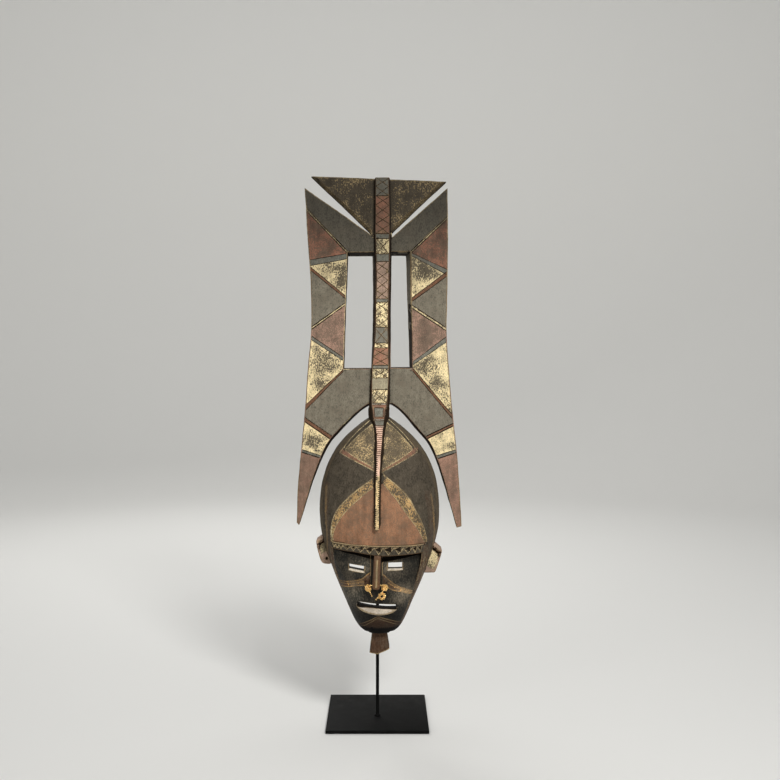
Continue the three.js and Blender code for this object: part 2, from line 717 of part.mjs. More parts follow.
function beadsGeometry() {
  const path = beadPath();
  const count = Math.round(path.getLength() / BEAD_STEP);
  const beads = [];
  for (let i = 0; i <= count; i++) {
    const place = path.getPointAt(i / count);
    const tangent = path.getTangentAt(i / count);
    const bead = new THREE.OctahedronGeometry(BEAD_RADIUS, 0);
    bead.applyQuaternion(new THREE.Quaternion().setFromUnitVectors(THREE.Object3D.DEFAULT_UP, tangent));
    bead.translate(place.x, place.y, place.z);
    beads.push(toSolid(bead));
  }
  return toGeometry(union(beads));
}

// Stand.
function standRodGeometry() {
  const top = HOLLOW[0].z - TOUCH_GAP;
  const seat = PLATE_THICKNESS + TOUCH_GAP;
  const profile = [
    [0, ROD_FOOT],
    [ROD_RADIUS, ROD_FOOT],
    [ROD_RADIUS, seat],
    [COLLAR_RADIUS, seat],
    [COLLAR_RADIUS, PLATE_THICKNESS + COLLAR_EDGE],
    [ROD_RADIUS, PLATE_THICKNESS + COLLAR_HEIGHT],
    [ROD_RADIUS, top - SADDLE.weld],
    [0, top - SADDLE.weld],
  ];
  const rod = new THREE.LatheGeometry(profile.map(([r, z]) => new THREE.Vector2(r, z)), ROD_SIDES);
  rod.rotateX(Math.PI / 2);
  rod.translate(0, ROD_Y, 0);
  const saddle = new THREE.BoxGeometry(SADDLE.width, SADDLE.depth, SADDLE.thickness);
  saddle.translate(HEAD_X, ROD_Y + SADDLE.depth / 2 - SADDLE.front, top - SADDLE.thickness / 2);
  const tongueY = GRIP.back + TOUCH_GAP + ARM.tongueThickness / 2;
  const reach = ROD_Y - tongueY;
  const arm = new THREE.CylinderGeometry(ARM.radius, ARM.radius, reach, ROD_SIDES);
  arm.translate(0, tongueY + reach / 2, ARM.z);
  const tongue = new THREE.BoxGeometry(ARM.tongueWidth, ARM.tongueThickness, ARM.tongueHeight);
  tongue.translate(0, tongueY, ARM.z);
  return toGeometry(union([rod, saddle, arm, tongue].map(toSolid)));
}

function basePlateGeometry() {
  const half = PLATE_SIZE / 2 - PLATE_CHAMFER;
  const shape = new THREE.Shape([[-half, -half], [half, -half], [half, half], [-half, half]]
    .map(([x, y]) => new THREE.Vector2(x, y)));
  const hole = new THREE.Path();
  hole.absarc(0, ROD_Y, ROD_RADIUS + ROD_HOLE_CLEARANCE + PLATE_CHAMFER, 0, 2 * Math.PI, true);
  shape.holes.push(hole);
  const geometry = new THREE.ExtrudeGeometry(shape, {
    depth: PLATE_THICKNESS - 2 * PLATE_CHAMFER,
    bevelThickness: PLATE_CHAMFER,
    bevelSize: PLATE_CHAMFER,
    bevelSegments: 1,
    curveSegments: 8,
  });
  geometry.translate(0, 0, PLATE_CHAMFER);
  return geometry;
}

const model = new THREE.Group();

function addPiece(name, geometry, material) {
  const piece = new THREE.Mesh(geometry, material);
  piece.name = name;
  model.add(piece);
}

addPiece('mask', maskGeometry(), finish(0x8a7458, 0.75, 0));
addPiece('nose_beads', beadsGeometry(), finish(0xd9a860, 0.35, 0.4));
addPiece('stand_rod', standRodGeometry(), finish(0x161614, 0.45, 0.8));
addPiece('base_plate', basePlateGeometry(), finish(0x161614, 0.5, 0.8));

export default model;
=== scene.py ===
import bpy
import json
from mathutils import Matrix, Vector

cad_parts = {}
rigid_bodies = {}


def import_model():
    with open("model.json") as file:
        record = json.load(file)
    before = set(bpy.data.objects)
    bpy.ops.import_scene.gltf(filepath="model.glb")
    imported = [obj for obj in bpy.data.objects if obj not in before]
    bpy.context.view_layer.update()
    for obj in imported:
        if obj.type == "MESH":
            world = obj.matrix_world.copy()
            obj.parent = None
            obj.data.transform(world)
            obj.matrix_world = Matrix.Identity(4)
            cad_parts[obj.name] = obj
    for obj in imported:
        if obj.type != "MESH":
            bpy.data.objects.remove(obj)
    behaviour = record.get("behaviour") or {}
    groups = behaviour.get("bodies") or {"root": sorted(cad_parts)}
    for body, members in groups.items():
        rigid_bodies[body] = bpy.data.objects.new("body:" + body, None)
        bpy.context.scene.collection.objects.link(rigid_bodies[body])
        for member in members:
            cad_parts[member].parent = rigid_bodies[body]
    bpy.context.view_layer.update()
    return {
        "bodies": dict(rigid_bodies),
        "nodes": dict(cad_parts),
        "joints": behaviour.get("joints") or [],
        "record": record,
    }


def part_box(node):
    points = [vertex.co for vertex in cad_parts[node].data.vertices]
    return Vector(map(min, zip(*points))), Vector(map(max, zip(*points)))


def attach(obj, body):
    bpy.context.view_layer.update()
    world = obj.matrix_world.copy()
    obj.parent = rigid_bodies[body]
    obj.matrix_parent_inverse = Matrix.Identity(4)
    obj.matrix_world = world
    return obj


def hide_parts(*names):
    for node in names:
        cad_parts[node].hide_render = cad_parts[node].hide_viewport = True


bl_info = {
    "name": "Carved plank mask",
    "version": (1, 0, 0),
    "blender": (4, 5, 0),
    "location": "3D View > Sidebar > Mask",
    "description": "Carves and paints an openwork plank mask and sets it on its rod and plate",
    "category": "Add Mesh",
}

import json
import math

import bmesh
import bpy
import numpy as np
from mathutils import Vector, noise
from mathutils.geometry import delaunay_2d_cdt

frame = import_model()

# Carving sizes below are in millimetres. +Z is up, the face looks along -Y, and left and right
# are a viewer's, in front.
MM = 0.001
# Blender's noise vectors start from the clock unless they are seeded.
TOOL_MARK_SEED = 5

PLANK_FRONT = -25.0
PLANK_BACK = -3.0

# Each side's outline, measured outwards from the plank's middle line.
SIDES = {
    -1: {
        "cap": (123, 1006),
        "notch_top": (12, 900),
        "notch_foot": (12, 898),
        "arm": (135, 984),
        "edge": [(128.5, 880), (123.5, 800), (123, 720), (128.5, 650), (134, 577), (141.5, 500),
                 (148, 420)],
        "horn": [(149.5, 365), (145.5, 360)],
        "arch": [(129.7, 409), (116, 450), (93, 503), (66, 536), (36, 566), (13, 582)],
        "window": [(2.5, 865.5), (55.5, 865.5), (63, 649.5), (2.5, 649.5)],
        "window_back": [(9.5, 859.5), (54.7, 859.5), (62.2, 651), (6.5, 651)],
        # Lines from the plank's edge to the window: name, height at 140 mm out, at the window.
        "lines": [
            ("arm", 956, 867), ("arm_inlay", 951, 863), ("red", 848, 863), ("grey", 837, 853),
            ("cream", 851, 784), ("band", 844, 779), ("black", 714, 772),
            ("black_inlay", 709, 768), ("low_red", 722, 670), ("low_grey", 715, 664),
            ("low_cream", 576, 649), ("low_band", 566, 645),
        ],
        # Lines from the horn's edge to the arch: name, height at 152 mm out, height and place there.
        "horn_lines": [
            ("shoulder", 572, 523, 82), ("shoulder_inlay", 564, 515, 82),
            ("horn_cream", 504, 488, 101), ("horn_inlay", 499, 483, 101),
        ],
    },
    1: {
        "cap": (127, 996),
        "notch_top": (27, 902),
        "notch_foot": (27, 893),
        "arm": (129.5, 984),
        "edge": [(130.5, 870), (129, 777), (128.5, 703), (132.5, 647), (138, 577), (146.5, 500),
                 (152, 425)],
        "horn": [(155.5, 358), (146.5, 355.5)],
        "arch": [(133.5, 401), (115, 462), (97, 505), (75.5, 532), (42, 570), (25, 582)],
        "window": [(24, 866.5), (61.5, 866.5), (64.5, 651), (24, 651)],
        "window_back": [(24.8, 860.5), (53, 860.5), (60, 652.5), (24.8, 652.5)],
        "lines": [
            ("arm", 942, 867), ("arm_inlay", 937, 863), ("red", 828, 864), ("grey", 817, 859),
            ("cream", 838, 780), ("band", 829, 773), ("black", 717, 768),
            ("black_inlay", 711.5, 762.5), ("low_red", 718, 662), ("low_grey", 707, 656),
            ("low_cream", 563, 652), ("low_band", 555, 646),
        ],
        "horn_lines": [
            ("shoulder", 554.5, 520.5, 82), ("shoulder_inlay", 549.5, 514.5, 82),
            ("horn_cream", 502, 486, 101), ("horn_inlay", 496, 480, 101),
        ],
    },
}
# How far out the lines' outer heights are given, and how far the arch's wall leans: just past the
# horn's end, and higher up.
PLANK_REACH = 140
HORN_REACH = 152
ARCH_LEAN = (1.0, 4.5)

# Crest from the forehead up: z, middle, half width in front and behind, front face, back.
CREST = [
    (368, -0.8, 3, 6, -124, -98), (373, -0.8, 4.5, 9, -125, -98), (400, -0.4, 4.3, 9, -123.5, -95),
    (450, 0.6, 4.2, 9, -118, -85), (486, 2, 4.5, 9.5, -106.5, -70), (521, 3.8, 5.4, 11, -90, -20),
    (545, 4.2, 7.6, 16, -70, 30), (560, 2.8, 10.6, 19, -56, 34), (574, 2.8, 12, 19.5, -45, 30),
    (588, 3.8, 14.6, 19, -37, 18), (650, 5.4, 15.6, 17.5, -35.5, 7), (715, 7.6, 12, 17, -35, 6),
    (777, 8.6, 11.8, 16.5, -35, 6), (815, 9.4, 11.6, 16.5, -35, 6), (875, 9.6, 13, 16.5, -35, 6),
    (913, 9.3, 13.6, 15.5, -35, 6), (1002, 9.2, 12.3, 14, -35, 5),
]
# Painted panels of the crest from the top down: lower edge, crossings cut into it, paint.
CREST_PANELS = [
    (968, 2, "slate"), (898, 4, "brick"), (889, 0, "slate"), (861, 1, "cream"), (847, 0, "slate"),
    (778, 4, "pink"), (772, 0, "slate"), (726, 3, "cream"), (697, 1, "slate"), (688, 1, "cream"),
    (656, 2, "brick"), (650, 0, "slate"), (633, 1, "cream"), (611, 0, "drab"), (586, 1, "cream"),
    (583.5, 0, "chalk"), (558.5, 0, "brick"), (556, 0, "chalk"), (546, 0, "slate"),
]
# Where the ridge's own paint starts and where it turns to gold, and where the cap's gold ends.
RIDGE_TOP = CREST_PANELS[-1][0]
GOLD_RIDGE_TOP = 461
CAP_FOOT = 888
LADDER = {"top": 548.0, "foot": 374.0, "pitch": 3.4, "depth": 1.2, "full": 497.0}
# Head from the chin up: z, half width, front, back, and y of the widest line.
HEAD_X = 3.6
HEAD = [
    (173, 6, -68, -52, -60), (176, 22, -82, -20, -58), (184, 35, -93, 10, -58),
    (198, 45, -101, 40, -55), (222, 56.5, -106.5, 66, -50), (262, 75.5, -110, 92, -38),
    (300, 91.5, -114, 112, -26), (349, 107.5, -116, 126, -14), (401, 111, -114, 124, -10),
    (450, 104, -108, 112, -10), (490, 88, -96, 92, -10), (520, 66.5, -80, 68, -10),
    (545, 39, -60, 42, -10), (560, 18, -40, 20, -11), (568, 3, -20, -4, -12),
]
HOLLOW = [
    (190, 14, -66, 150, -50), (195, 27, -76, 150, -48), (215, 42, -83, 150, -44),
    (250, 58, -85, 150, -36), (290, 76, -87, 150, -26), (325, 88, -95, 150, -18),
    (370, 97, -99, 130, -12), (430, 95, -96, 106, -10), (480, 79, -84, 86, -10),
    (520, 50, -64, 56, -10), (544, 25, -46, 30, -10),
]
ROUNDNESS = 2.3
# The head's front is unrolled as a circle's arc, longer by this factor.
HEAD_SPREAD = 1.15
RIM = [(-40, 173), (72, 500)]

# Lines cut into the dome and the face, as points on the front view.
DOME = {
    -1: {
        "sector": [(-8.5, 559), (-15.5, 554), (-31.9, 539.9), (-49.9, 521.3), (-68.5, 497)],
        "sector_inner": [(-6, 553), (-11.7, 547.6), (-28, 535.3), (-44.2, 519.4), (-58.6, 503.3)],
        "band_top": [(-58.6, 503.3), (-34.5, 489.6), (-4, 473.7)],
        "band_foot": [(-68.5, 498), (-39.8, 486), (-4, 468.8)],
        "arc_top": [(-7, 457), (-35.5, 436), (-52.6, 420.6), (-71.6, 398.1), (-80.5, 377.8),
                    (-83.6, 358.2), (-82, 341)],
        "arc_foot": [(-7, 442), (-27, 425.9), (-52.2, 401.6), (-67.7, 381.6), (-77.5, 361.2),
                     (-79.7, 341)],
        "streak": [[(-84, 445), (-86, 430), (-88.5, 397), (-86, 361), (-84, 345)],
                   [(-95, 450), (-97, 430), (-95, 395), (-92, 360), (-90, 345)]],
        "streak_gold": [[(-90, 440), (-91, 420), (-91.5, 390), (-89, 350)],
                        [(-93.5, 440), (-95, 420), (-95, 390), (-92.5, 350)]],
    },
    1: {
        "sector": [(14, 561), (21.2, 556.4), (41.2, 538.1), (57.4, 520.4), (73.5, 499)],
        "sector_inner": [(13, 556), (19.3, 550.9), (37.4, 535.1), (51.8, 519.3), (64.4, 505.1)],
        "band_top": [(64.4, 505.1), (40.4, 489.7), (8, 471.6)],
        "band_foot": [(73.5, 500), (43.9, 485), (8, 466.9)],
        "arc_top": [(11, 463), (36.5, 442.4), (57.8, 418.4), (68.4, 397.2), (80, 375.3),
                    (86.9, 353.2), (88, 341)],
        "arc_foot": [(11, 448), (34.3, 419.4), (53.1, 392.6), (72.1, 365.5), (84, 341)],
        "streak": [[(84, 432), (89, 398), (93, 361), (89, 324), (84, 290)],
                   [(95, 436), (101, 400), (105, 356), (103, 314), (95, 280)]],
        "streak_gold": [[(95, 425), (99, 400), (102, 356), (99, 314)],
                        [(98, 425), (102, 400), (105, 356), (102, 314)]],
    },
}
CHEEKS = {
    -1: {
        "top": [(-11.2, 291.5), (-15.6, 288), (-24.3, 280.3), (-33.8, 275.8), (-46.5, 273.5), (-72, 269)],
        "middle": [(-24, 273.5), (-46, 269), (-70, 266)],
        "foot": [(-11, 270), (-23.6, 266.8), (-43.2, 265), (-70, 258)],
    },
    1: {
        "top": [(8.3, 288.5), (19.9, 277.1), (29.3, 269.2), (42, 262), (67, 252)],
        "middle": [(19, 271), (42, 258.5), (64, 250.5)],
        "foot": [(9, 271), (21.5, 261.3), (31, 257.3), (45, 254), (66, 246.5)],
    },
}
CHIN_LINES = [
    [(1, 213.5), (-26, 198), (-34, 193.5)], [(0, 209.5), (-20, 195.5), (-28, 190)],
    [(1.5, 213.5), (37, 200.5), (42, 199)], [(2, 209.5), (30, 197.5), (38, 193.5)],
]
# Under this line of the front view, left to right, the face falls back below the brow. Where it falls back
# it is also painted near black, as the brow's shadow.
UNDER_BROW = [(-84, 330), (-72, 327), (-57, 322.3), (-41, 320.4), (-25, 316.9), (-9.5, 313.4),
              (8.5, 308.7), (22.5, 310.2), (54, 314.4), (71, 317), (84, 319)]
FIELD_LEFT = [(-79, 321), (-76.5, 300), (-70, 276), (-60, 246), (-48, 214), (-38, 193), (-30, 180)]
FIELD_RIGHT = [(34, 180), (43, 200), (58, 238), (68, 268), (76, 298), (79.5, 321)]
FIELD_FOOT = (6, 171)
BROW = {
    "foot": [(-81.5, 330.8), (-75, 330), (-41, 328), (-19, 325), (-5, 322.5), (10, 321.5), (45, 322.5),
             (82.5, 323)],
    "top": [(-81.5, 342), (-40, 341), (0, 339.8), (82.5, 338.5)],
    "proud": 3.2,
}
ZIGZAG = {
    "tops": [-79.5, -74.6, -67.9, -60.4, -47.2, -36.7, -22.1, -5.6, 10.2, 29.5, 46.3, 62.3, 71.8, 80],
    "depth": 1.1, "band": 1.3,
}
NOSE_X = -1.6
NOSE = [
    # z, front, half width
    (329, -108, 4.4), (324, -116, 5.4), (321, -120, 6.0), (312, -121.4, 6.2), (298, -122.4, 6.4),
    (284, -123.4, 6.6), (272, -124, 6.7), (267, -123.6, 6.4), (264.2, -122, 5.4), (263, -119, 3.8),
]
NOSE_HOLE = {"y": -116, "z": 270.5, "radius": 2.9}
SLOTS = {
    # The two upper corners, height, fall of the sill and widening at its front.
    "left_eye": [(-50, 304), (-24, 300.8), 8.6, 28, 12],
    "right_eye": [(19.3, 307.6), (44.5, 307), 11.2, 28, 14],
    "mouth": [(-35, 238.5), (33, 232.5), 8, 0, 6],
}
# How far behind the face's surface a slot has its full depth, and how far the lip hangs.
SILL_DEPTH = 5.5
LIP_DROP = 11.4
EARS = {
    -1: {
        "outline": [(-92, 349), (-98, 346.5), (-111.5, 336), (-110.5, 326), (-107.5, 314),
                    (-104.5, 303), (-101, 296.5), (-96, 294), (-88, 293.5), (-78, 296)],
        "roof": [(-111.5, 334.5), (-98, 345.5), (-78, 352)],
        "hole": (-92, 304),
    },
    1: {
        "outline": [(100, 335), (104, 332), (118, 319.5), (117.5, 314), (112, 296), (106, 279.5),
                    (103.5, 277.5), (80, 277.5), (84, 300)],
        "roof": [(84, 340), (104, 330.5), (118, 318)],
        "hole": None,
    },
}
GRIP = [(-8, 186), (-14, 138), (0, 136), (22, 145), (15, 186)]

# Bead string: a tail, three coils of two to four turns, and another tail. A turn is its radius,
# its start and its sweep in parts of a circle, and how far it stands out.
COILS = [
    ((-15.9, -111, 264.5), [(1.2, -0.25, 0.9, 1.5), (3.7, 0.6, -0.95, 1.5), (5.8, 0.65, -0.97, 0),
                            (5.2, 0.62, -0.5, -2)]),
    ((12.8, -111, 265), [(5.3, 0.4, -0.6, -2), (5.7, 0.8, -0.98, 0), (3.6, 0.75, -0.95, 1.5),
                         (1.2, 0.8, -0.9, 1.5)]),
    ((8.2, -114, 250.8), [(6.3, 0.25, -0.97, 0), (4.1, 0.25, -0.95, 1.5)]),
]
TAILS = [(-9.5, -113, 251), (-2.2, -115.5, 245.5)]
HOLE_REACH = (-12, -8, 0, 8, 12)

ROD_Y = -18.5
PLATE = {"half": 92.5, "thickness": 6.0}
# Stand: the collar's profile as radius and height, the saddle's two ends and its reach before and
# behind the rod, the tongue's corners, and the y at which the arm ends.
COLLAR = [(5.7, 6.3), (6, 6.6), (5.9, 7.6), (5.0, 8.3), (3.9, 8.9), (3.3, 9.6)]
SADDLE = {"left": -16.4, "right": 23.6, "front": 6, "back": 20, "thickness": 4, "edge": 0.9}
TONGUE = {"half": 8, "front": -45.7, "back": -42.7, "foot": 151, "top": 169, "edge": 0.6}
ARM = {"z": 160, "radius": 2.5, "end": -44}
ROUND_SIDES = 40

# The photograph's width in pixels, the camera's place in metres and its shift in pixels.
PHOTO_WIDTH = 780
CAMERA_PLACE = (0.0065, -1.823, 0.675)
CAMERA_SHIFT = (9, -35)

# Places on the plank where more of the light paint is left, or less: x, z, radius, change.
WEAR_SPOTS = [
    (-87, 820, 12, -0.35), (-60, 824, 18, 0.25), (79, 802, 12, -0.35), (113, 828, 8, -0.3),
    (87, 836, 13, 0.3), (-118, 688, 12, -0.25), (-94, 668, 15, 0.28), (-84, 640, 10, -0.2),
    (-120, 634, 14, -0.3), (-125, 604, 12, -0.25), (-100, 612, 10, 0.15), (113, 678, 16, -0.3),
    (124, 645, 16, -0.35), (127, 610, 10, -0.3), (86, 660, 13, 0.2), (-138, 541, 8, -0.25),
    (-108, 528, 8, -0.25), (-130, 500, 9, -0.25), (-119, 520, 9, 0.3), (113, 511, 13, -0.3),
    (135, 526, 12, -0.3),
]


def paint_of(red, green, blue):
    """Linear colour of a paint that is read off as 0 to 255 values."""
    share = np.array([red, green, blue]) / 255
    return tuple(np.where(share < 0.04045, share / 12.92, ((share + 0.055) / 1.055) ** 2.4))


class CarvingSizes(bpy.types.PropertyGroup):
    """Sizes of the carver's cuts and of the wear on them"""

    groove_width: bpy.props.FloatProperty(
        name="Groove width", description="Width of the lines cut between the painted panels",
        default=0.0025, min=0.0005, max=0.006, subtype="DISTANCE", unit="LENGTH")
    groove_depth: bpy.props.FloatProperty(
        name="Groove depth", description="Depth of the lines cut between the painted panels",
        default=0.0014, min=0.0002, max=0.004, subtype="DISTANCE", unit="LENGTH")
    edge_round: bpy.props.FloatProperty(
        name="Worn edge", description="Width of the worn bevel along the plank's edges",
        default=0.0016, min=0.0002, max=0.004, subtype="DISTANCE", unit="LENGTH")
    spacing: bpy.props.FloatProperty(
        name="Mesh spacing", description="Distance between the points on the carved faces",
        default=0.0044, min=0.003, max=0.012, subtype="DISTANCE", unit="LENGTH")
    tool_marks: bpy.props.FloatProperty(
        name="Tool marks", description="Height of the uneven surface that the adze left",
        default=0.0006, min=0.0, max=0.002, subtype="DISTANCE", unit="LENGTH")


class PaintColours(bpy.types.PropertyGroup):
    """Paints and bare wood of the mask"""

    cream: bpy.props.FloatVectorProperty(
        name="Cream", description="Chalky yellow of the speckled panels", subtype="COLOR",
        default=paint_of(240, 219, 170), min=0, max=1)
    brick: bpy.props.FloatVectorProperty(
        name="Brick", description="Faded red earth", subtype="COLOR",
        default=paint_of(158, 112, 90), min=0, max=1)
    black: bpy.props.FloatVectorProperty(
        name="Black", description="Dusty soot black", subtype="COLOR",
        default=paint_of(120, 113, 98), min=0, max=1)
    slate: bpy.props.FloatVectorProperty(
        name="Slate", description="Grey of the thin bands", subtype="COLOR",
        default=paint_of(112, 110, 99), min=0, max=1)
    chalk: bpy.props.FloatVectorProperty(
        name="Chalk", description="White of the inlay lines and the lip", subtype="COLOR",
        default=paint_of(222, 210, 190), min=0, max=1)
    ochre: bpy.props.FloatVectorProperty(
        name="Ochre", description="Golden yellow of the dome and cheeks", subtype="COLOR",
        default=paint_of(192, 152, 96), min=0, max=1)
    wood: bpy.props.FloatVectorProperty(
        name="Wood", description="Brown of the handled, unpainted wood", subtype="COLOR",
        default=paint_of(118, 88, 56), min=0, max=1)


class BeadSizes(bpy.types.PropertyGroup):
    """Sizes and colour of the beads at the nose"""

    radius: bpy.props.FloatProperty(
        name="Bead radius", description="Radius of one bead", default=0.0017, min=0.0005,
        max=0.004, subtype="DISTANCE", unit="LENGTH")
    step: bpy.props.FloatProperty(
        name="Bead step", description="Distance from bead to bead along the string",
        default=0.0037, min=0.001, max=0.01, subtype="DISTANCE", unit="LENGTH")
    thread: bpy.props.FloatProperty(
        name="Thread radius", description="Radius of the thread through the beads",
        default=0.0005, min=0.0002, max=0.002, subtype="DISTANCE", unit="LENGTH")
    gold: bpy.props.FloatVectorProperty(
        name="Gold", description="Colour of the beads", subtype="COLOR",
        default=paint_of(255, 213, 140), min=0, max=1)


class StandSizes(bpy.types.PropertyGroup):
    """Sizes and colour of the steel stand"""

    rod_radius: bpy.props.FloatProperty(
        name="Rod radius", description="Radius of the upright rod", default=0.003, min=0.001,
        max=0.01, subtype="DISTANCE", unit="LENGTH")
    plate_edge: bpy.props.FloatProperty(
        name="Plate edge", description="Rounding of the plate's edges", default=0.0008,
        min=0.0001, max=0.003, subtype="DISTANCE", unit="LENGTH")
    steel: bpy.props.FloatVectorProperty(
        name="Steel", description="Black finish of the steel", subtype="COLOR",
        default=paint_of(13, 13, 12), min=0, max=1)


class StageSizes(bpy.types.PropertyGroup):
    """Floor, light and camera"""

    floor: bpy.props.FloatVectorProperty(
        name="Floor", description="Colour of the floor", subtype="COLOR",
        default=paint_of(222, 221, 217), min=0, max=1)
    key_power: bpy.props.FloatProperty(
        name="Key light", description="Power of the main light in watts", default=40.0, min=0,
        unit="POWER")
    sky: bpy.props.FloatProperty(
        name="Sky", description="Strength of the light from all round", default=0.22, min=0,
        max=2, subtype="FACTOR")
    lens: bpy.props.FloatProperty(
        name="Lens", description="Focal length of the camera in millimetres", default=44.86,
        min=10, max=200, unit="CAMERA")


# Lines and tables.
def smooth_line(points, per_span=12):
    """Points along a smooth line that passes through all the given points."""
    p = np.asarray(points, float)
    q = np.vstack([p[:1], p, p[-1:]])
    rows = []
    for i in range(len(p) - 1):
        a, b, c, d = q[i:i + 4]
        for t in np.arange(per_span) / per_span:
            rows.append(0.5 * (2 * b + (c - a) * t + (2 * a - 5 * b + 4 * c - d) * t * t
                               + (3 * b - a - 3 * c + d) * t ** 3))
    rows.append(p[-1])
    return np.array(rows)


HEAD_TABLE = smooth_line(HEAD)
HOLLOW_TABLE = smooth_line(HOLLOW)
CREST_TABLE = smooth_line(CREST)


def read_table(table, z, column):
    """The given column of a table at height z."""
    return np.interp(z, table[:, 0], table[:, column])


def along(points, step):
    """The same line as evenly spaced points, both ends included."""
    points = np.asarray(points, float)
    reach = np.concatenate([[0], np.cumsum(np.linalg.norm(np.diff(points[:, :2], axis=0), axis=1))])
    count = max(1, int(round(reach[-1] / step)))
    place = np.linspace(0, reach[-1], count + 1)
    return np.column_stack([np.interp(place, reach, column) for column in points.T])


def stretch(front, back=None, bevel=(1.6, 1.4), step=4.0):
    """One stretch of an outline: front x and z, back x and z, and the bevel's width and depth."""
    front = np.asarray(front, float)
    back = front if back is None else np.asarray(back, float)
    rows = along(np.column_stack([front, back]), step)[:-1]
    return np.column_stack([rows, np.tile(bevel, (len(rows), 1))])


def closed(first, second, bevel, step):
    """A closed outline: one line, across to the other, along it and back to the start."""
    return np.vstack([stretch(line, None, bevel, step) for line in (
        first, [first[-1], second[0]], second, [second[-1], first[0]])])


def nearest(points, starts, ends):
    """Distance from each point to the nearest of the segments, its index and the share along it."""
    span = ends - starts
    length = np.maximum((span ** 2).sum(1), 1e-12)
    found = [np.empty(len(points)), np.empty(len(points), int), np.empty(len(points))]
    for k in range(0, len(points), 800):
        part = points[k:k + 800, None, :] - starts[None]
        share = np.clip((part * span[None]).sum(2) / length[None], 0, 1)
        gap = np.linalg.norm(part - share[..., None] * span[None], axis=2)
        which = gap.argmin(1)
        rows = np.arange(len(which))
        found[0][k:k + 800] = gap[rows, which]
        found[1][k:k + 800] = which
        found[2][k:k + 800] = share[rows, which]
    return found


def inside(points, loops):
    """Which points lie inside the outline and outside its openings."""
    state = np.zeros(len(points), bool)
    for loop in loops:
        a, b = loop, np.roll(loop, -1, axis=0)
        for (ax, az), (bx, bz) in zip(a, b):
            if az == bz:
                continue
            crossed = (az > points[:, 1]) != (bz > points[:, 1])
            state ^= crossed & (points[:, 0] < ax + (points[:, 1] - az) * (bx - ax) / (bz - az))
    return state


class Pattern:
    """A part's front view as triangles: its outline, the lines cut into it and points between.

    A cut is a line with its width and depth. Each point keeps how deep the cuts and the worn
    bevel take it, and where the outline behind it lies.
    """

    def __init__(self, loops, cuts=(), spacing=4.4):
        points, edges = [], []

        def chain(rows, closed):
            start = len(points)
            points.extend(rows)
            edges.extend((start + i, start + i + 1) for i in range(len(rows) - 1))
            if closed:
                edges.append((start + len(rows) - 1, start))

        outlines = [loop[:, :2] for loop in loops]
        for number, loop in enumerate(loops):
            flat = loop[:, :2]
            turn = (flat[:, 0] * np.roll(flat[:, 1], -1) - np.roll(flat[:, 0], -1) * flat[:, 1]).sum()
            inward = 1 if (turn > 0) == (number == 0) else -1
            ahead = np.roll(flat, -1, axis=0) - flat
            ahead /= np.linalg.norm(ahead, axis=1)[:, None]
            side = np.column_stack([-ahead[:, 1], ahead[:, 0]]) * inward
            both = side + np.roll(side, 1, axis=0)
            both /= np.maximum((both ** 2).sum(1) / 2, 0.25)[:, None]
            chain(flat, True)
            if loop[:, 4].max() > 0:
                chain(flat + both * loop[:, 4:5], True)
        for line, width, _ in cuts:
            rows = along(line, 4.0)
            ahead = np.gradient(rows, axis=0)
            side = np.column_stack([-ahead[:, 1], ahead[:, 0]])
            side /= np.linalg.norm(side, axis=1)[:, None]
            for share in (-0.5, 0, 0.5):
                chain(rows + side * width * share, False)
        fixed = np.array(points)
        ends = np.array(edges)
        low, high = outlines[0].min(0), outlines[0].max(0)
        grid = [
            (x + (row % 2) * spacing / 2, z)
            for row, z in enumerate(np.arange(low[1], high[1], spacing * 0.87))
            for x in np.arange(low[0], high[0], spacing)
        ]
        grid = np.array(grid)
        grid = grid[inside(grid, outlines)]
        if len(grid):
            gap = nearest(grid, fixed[ends[:, 0]], fixed[ends[:, 1]])[0]
            grid = grid[gap > spacing * 0.5]
            fixed = np.vstack([fixed, grid])
        made = delaunay_2d_cdt([Vector(p) for p in fixed], edges, [], 0, 1e-4)
        flat = np.array([tuple(p) for p in made[0]])
        triangles = np.array([list(t) for t in made[2]])
        kept = inside(flat[triangles].mean(1), outlines)
        triangles = triangles[kept]
        a, b, c = (flat[triangles[:, k]] for k in range(3))
        area = (b[:, 0] - a[:, 0]) * (c[:, 1] - a[:, 1]) - (b[:, 1] - a[:, 1]) * (c[:, 0] - a[:, 0])
        triangles = np.where(area[:, None] > 0, triangles, triangles[:, ::-1])
        used, order = np.unique(triangles, return_inverse=True)
        self.triangles = order.reshape(triangles.shape)
        self.flat = flat[used]
        directed = {}
        for t in self.triangles:
            for k in range(3):
                directed[(t[k], t[(k + 1) % 3])] = True
        self.rim = [edge for edge in directed if (edge[1], edge[0]) not in directed]
        starts = np.vstack([loop[:, :6] for loop in loops])
        finish = np.vstack([np.roll(loop[:, :6], -1, axis=0) for loop in loops])
        gap, which, share = nearest(self.flat, starts[:, :2], finish[:, :2])
        here = starts[which] + (finish[which] - starts[which]) * share[:, None]
        width = np.maximum(here[:, 4], 1e-6)
        self.bevel = here[:, 5] * np.clip(1 - gap / width, 0, 1)
        self.shift = np.zeros_like(self.flat)
        on_rim = np.unique(np.array(self.rim))
        self.shift[on_rim] = here[on_rim, 2:4] - here[on_rim, :2]
        self.groove = np.zeros(len(self.flat))
        for line, width, depth in cuts:
            line = np.asarray(line, float)
            gap = nearest(self.flat, line[:-1], line[1:])[0]
            self.groove = np.maximum(self.groove, depth * np.clip(1 - gap / (width / 2), 0, 1))


